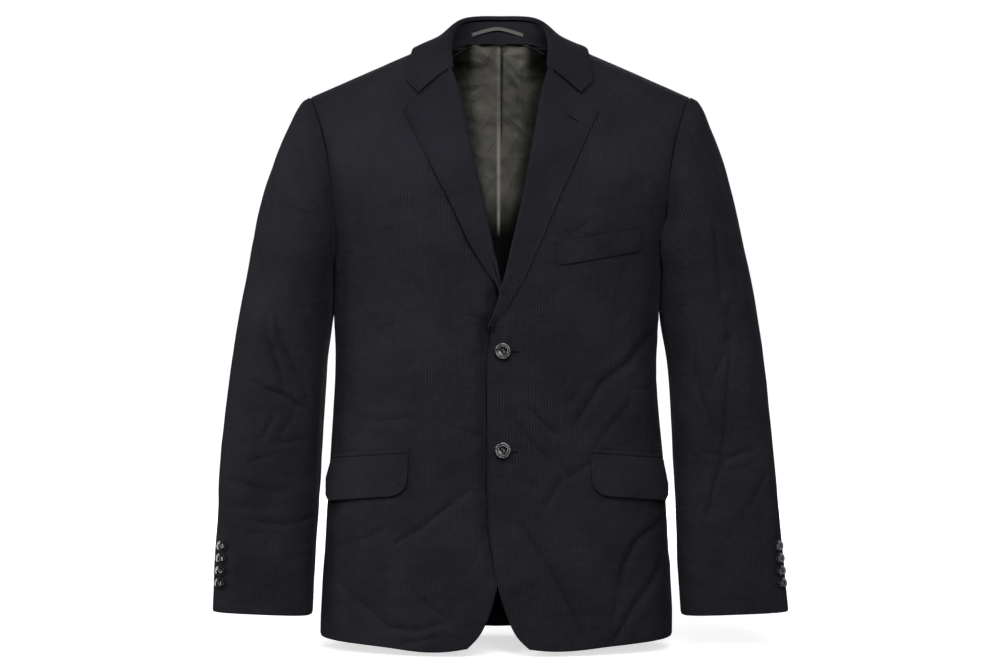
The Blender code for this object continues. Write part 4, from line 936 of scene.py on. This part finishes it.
def joined(pieces):
    """Make several pieces one."""
    alone(pieces[0])
    for piece in pieces[1:]:
        piece.select_set(True)
    bpy.ops.object.join()
    return pieces[0]


# Each step inwards on a button's face, in radii, and up, in thicknesses
BUTTON_STEPS = ((0.10, 0.10), (0.09, 0.0), (0.03, -0.26), (0.09, 0.0), (0.03, 0.14), (0.08, 0.0),
                (0.06, -0.18))
HIGHLIGHT_RINGS = ((0.57, 0.665), (0.80, 0.92))     # the high rings that get pale horn as a painted highlight, in radii
HOLE_AT = 0.20                                   # each hole's place to both sides, in radii


def turn_button(radius, thick):
    """Turn a button on its axis: a rounded rim round a dish with four holes drilled in it."""
    button = primitive(CYLINDER, "turned_button", vertices=48, radius=radius, depth=thick,
                       location=(0.0, 0.0, thick / 2))
    for face in button.data.polygons:
        face.select = face.normal.z > 0.9
    bpy.ops.object.mode_set(mode="EDIT")
    bpy.ops.mesh.select_mode(type="FACE")
    for inwards, up in BUTTON_STEPS:
        bpy.ops.mesh.inset(thickness=inwards * radius, depth=up * thick)
    bpy.ops.object.mode_set(mode="OBJECT")
    drill = joined([primitive(CYLINDER, "drill", vertices=16, radius=0.095 * radius,
                              depth=4 * thick,
                              location=(HOLE_AT * radius * across, HOLE_AT * radius * along, 0.0))
                    for across, along in ((-1, -1), (-1, 1), (1, -1), (1, 1))])
    apply(button, "BOOLEAN", object=drill, operation="DIFFERENCE", solver="EXACT")
    bpy.data.objects.remove(drill)
    apply(button, "BEVEL", width=0.015 * radius, segments=2, limit_method="ANGLE",
          angle_limit=math.radians(25))
    button.data.materials.append(HORN)
    button.data.materials.append(HIGHLIGHT_HORN)
    for face in button.data.polygons:
        away = math.hypot(face.center.x, face.center.y) / radius
        # faces on the high rings take the pale horn, a painted highlight
        rubbed = any(near < away < far for near, far in HIGHLIGHT_RINGS)
        face.material_index = int(rubbed and face.center.z > 0.6 * thick)
    return button


def sew_threads(radius, thick):
    """Two bars of thread through the four holes, and the shank below them."""
    bars = [primitive(CYLINDER, "strand", vertices=10, radius=0.038 * radius,
                      depth=0.48 * radius, rotation=(0.0, math.pi / 2, 0.0),
                      location=(0.0, (HOLE_AT * along + 0.055 * strand) * radius, 0.72 * thick))
            for along in (-1, 1) for strand in (-1, 0, 1)]
    shank = primitive(CYLINDER, "shank", vertices=16, radius=0.24 * radius, depth=0.60 * thick,
                      location=(0.0, 0.0, 0.10 * thick))
    threads = joined([*bars, shank])
    apply(threads, "BEVEL", width=0.02 * radius, segments=2, limit_method="ANGLE",
          angle_limit=math.radians(40))
    return threads


def seat(piece, place, facing, turn):
    """Move a piece that was made round the upright axis to its place, facing this way."""
    stand = Vector(facing).to_track_quat("Z", "Y").to_matrix().to_4x4()
    piece.matrix_world = Matrix.Translation(Vector(place)) @ stand @ Matrix.Rotation(turn, 4, "Z")
    alone(piece)
    settle()
    bpy.ops.object.shade_smooth_by_angle(angle=math.radians(40))


def place_and_facing(node):
    """The middle of a CAD button's back, the way that it faces, its radius and thickness."""
    spots = places(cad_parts[node].data)
    middle = spots.mean(axis=0)
    facing = np.linalg.svd(spots - middle)[2][2]
    facing = -facing if facing[1] > 0 else facing
    high = (spots - middle) @ facing
    radius = np.linalg.norm(spots - middle - high[:, None] * facing, axis=1).max()
    return middle + facing * high.min(), facing, radius, np.ptp(high)


def finish_piece(piece, material):
    if not piece.data.materials:
        piece.data.materials.append(material)
    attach(piece, "root")


def copy_of(master, name):
    piece = master.copy()
    piece.data = master.data.copy()
    piece.name = piece.data.name = name
    bpy.context.scene.collection.objects.link(piece)
    return piece


# How far each button is turned, in radians
TURNS = {"1": 0.5, "2": 0.1, "3": 0.9, "4": 0.35, "upper": 0.6, "lower": 0.85}
masters = {}
for node in sorted(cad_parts):
    if not node.startswith("button"):
        continue
    back, facing, radius, thick = place_and_facing(node)
    size = "front" if "front" in node else "cuff"
    if size not in masters:
        masters[size] = (turn_button(radius, thick), sew_threads(radius, thick))
    for master, kind, material in zip(masters[size], ("turned_", "thread_"), (HORN, THREAD)):
        made = copy_of(master, kind + node)
        seat(made, back, facing, TURNS[node.rsplit("_", 1)[1]])
        finish_piece(made, material)
        if kind == "turned_":
            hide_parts(node)
for pair in masters.values():
    for master in pair:
        bpy.data.objects.remove(master)


def on_cloth(piece, x, z):
    """The place and the way out where a cloth piece shows at this x and z from the front."""
    return bpy.data.objects[piece].ray_cast((x * MM, -1.0, z * MM), (0.0, 1.0, 0.0))[1:3]


STITCH_DEEP = 2.4 * MM        # the ring of stitches goes through the cloth
STITCH_LIFT = 0.25 * MM       # and stands this far out


def sew_hole(name, piece, start, end, wide):
    """A buttonhole: a ring of close stitches drawn out to a slot, from start to end."""
    first, out = on_cloth(piece, *start)
    last, _ = on_cloth(piece, *end)
    length = (last - first).length
    hole = primitive(bpy.ops.mesh.primitive_torus_add, name, major_radius=0.33,
                     minor_radius=0.17, major_segments=64, minor_segments=10)
    hole.scale = (length, wide * MM, STITCH_DEEP)
    settle()
    apply(hole, "SUBSURF", levels=1)
    side = out.cross(last - first).normalized()
    along = (last - first).normalized()
    out = along.cross(side)
    turn = Matrix((along, side, out)).transposed().to_4x4()
    hole.matrix_world = Matrix.Translation((first + last) / 2 + out * STITCH_LIFT) @ turn
    alone(hole)
    settle()
    bpy.ops.object.shade_smooth_by_angle(angle=math.radians(60))
    finish_piece(hole, HOLE_THREAD)


sew_hole("buttonhole_upper", "cloth_front_left", (4, -385.5), (24, -385.0), 2.2)
sew_hole("buttonhole_lower", "cloth_front_left", (4, -505.5), (23, -506.0), 2.2)
sew_hole("buttonhole_lapel", "cloth_lapel_left", (79.9, -98.4), (96.2, -108.1), 2.0)


# ------------------------------------------------------------------ floor, light and camera

FLOOR = -0.7530


def paper(name, colour, near, far):
    """White paper that glows a little, and more with its distance from the blazer."""
    finish = Finish(name, Metallic=0.0, Roughness=0.9, Specular_IOR_Level=0.0,
                    Emission_Strength=1.0)
    where = finish.place()
    tone = finish.grain(where, 3.0)
    away = finish.node("ShaderNodeVectorMath", {"operation": "LENGTH"}, {0: where}, 1)
    return finish.give(Base_Color=finish.mixed(tone, colour, scaled(0.995, colour)),
                       Emission_Color=finish.mixed(away.rise(0.9, 2.2), near, far))


def make_floor():
    floor = primitive(bpy.ops.mesh.primitive_plane_add, "studio_floor", size=900.0,
                      location=(0.0, 0.0, FLOOR))
    floor.data.materials.append(paper("white_paper", (0.90, 0.90, 0.90), (0.66, 0.66, 0.66),
                                      (1.0, 1.0, 1.0)))
    floor.visible_diffuse = False
    floor.visible_glossy = False


def soft_sun(name, azimuth, elevation, strength, spread):
    """A broad even light from this side, 0 being the front and 90 the wearer's left."""
    lamp = bpy.data.lights.new(name, "SUN")
    lamp.energy, lamp.angle = strength, math.radians(spread)
    held = bpy.data.objects.new(name, lamp)
    turn, rise = math.radians(azimuth), math.radians(elevation)
    away = Vector((math.sin(turn) * math.cos(rise), -math.cos(turn) * math.cos(rise),
                   math.sin(rise)))
    held.rotation_euler = (-away).to_track_quat("-Z", "Y").to_euler()
    bpy.context.scene.collection.objects.link(held)


def softbox(name, place, aim, size, power):
    """A large near light, which fades with distance."""
    lamp = bpy.data.lights.new(name, "AREA")
    lamp.shape, lamp.size, lamp.size_y, lamp.energy = "RECTANGLE", *size, power
    held = bpy.data.objects.new(name, lamp)
    held.location = place
    held.rotation_euler = (Vector(aim) - Vector(place)).to_track_quat("-Z", "Y").to_euler()
    bpy.context.scene.collection.objects.link(held)


# Each light's name, place, aim, size and power
SOFTBOXES = (
    ("key", (-1.2, -1.9, 0.6), (0.0, 0.0, -0.25), (0.8, 1.1), 23),
    ("top", (0.0, -1.1, 0.40), (0.0, 0.0, -0.15), (0.5, 0.3), 7),
    ("fill", (0.6, -2.6, 0.3), (0.05, 0.0, -0.20), (0.8, 1.6), 30),
    ("left_side", (-2.4, -0.4, -0.3), (0.0, 0.0, -0.50), (0.8, 1.6), 32),
    ("right_side", (2.4, -0.4, -0.3), (0.0, 0.0, -0.50), (0.8, 1.6), 8),
    ("behind", (0.3, 2.8, 0.5), (0.0, 0.0, -0.35), (1.6, 1.6), 45),
)


def light_the_studio():
    """A white room, dim all round, with softboxes in front of the blazer."""
    world = bpy.data.worlds.new("white_studio")
    world.use_nodes = True
    nodes, links = world.node_tree.nodes, world.node_tree.links
    room = nodes["Background"]
    room.inputs["Color"].default_value = (1.0, 1.0, 1.0, 1.0)
    room.inputs["Strength"].default_value = 0.06
    paper_wall = nodes.new("ShaderNodeBackground")
    paper_wall.inputs["Color"].default_value = (1.0, 1.0, 1.0, 1.0)
    seen = nodes.new("ShaderNodeLightPath")
    either = nodes.new("ShaderNodeMixShader")
    links.new(seen.outputs["Is Camera Ray"], either.inputs[0])
    links.new(room.outputs[0], either.inputs[1])
    links.new(paper_wall.outputs[0], either.inputs[2])
    links.new(either.outputs[0], nodes["World Output"].inputs["Surface"])
    bpy.context.scene.world = world
    bpy.context.scene.view_settings.view_transform = "Standard"
    for light in SOFTBOXES:
        softbox(*light)
    soft_sun("front", 2, 34, 0.42, 20)


FOCAL_LENGTH = 2400 / 1008    # in picture widths
SENSOR = 36.0


def place_camera():
    lens = bpy.data.cameras.new("camera")
    lens.sensor_width = SENSOR
    lens.lens = FOCAL_LENGTH * SENSOR
    camera = bpy.data.objects.new("camera", lens)
    camera.location = (0.005, -3.0, -0.366)
    camera.rotation_euler = (math.radians(90), 0.0, 0.0)
    bpy.context.scene.collection.objects.link(camera)
    bpy.context.scene.camera = camera


make_floor()
light_the_studio()
place_camera()
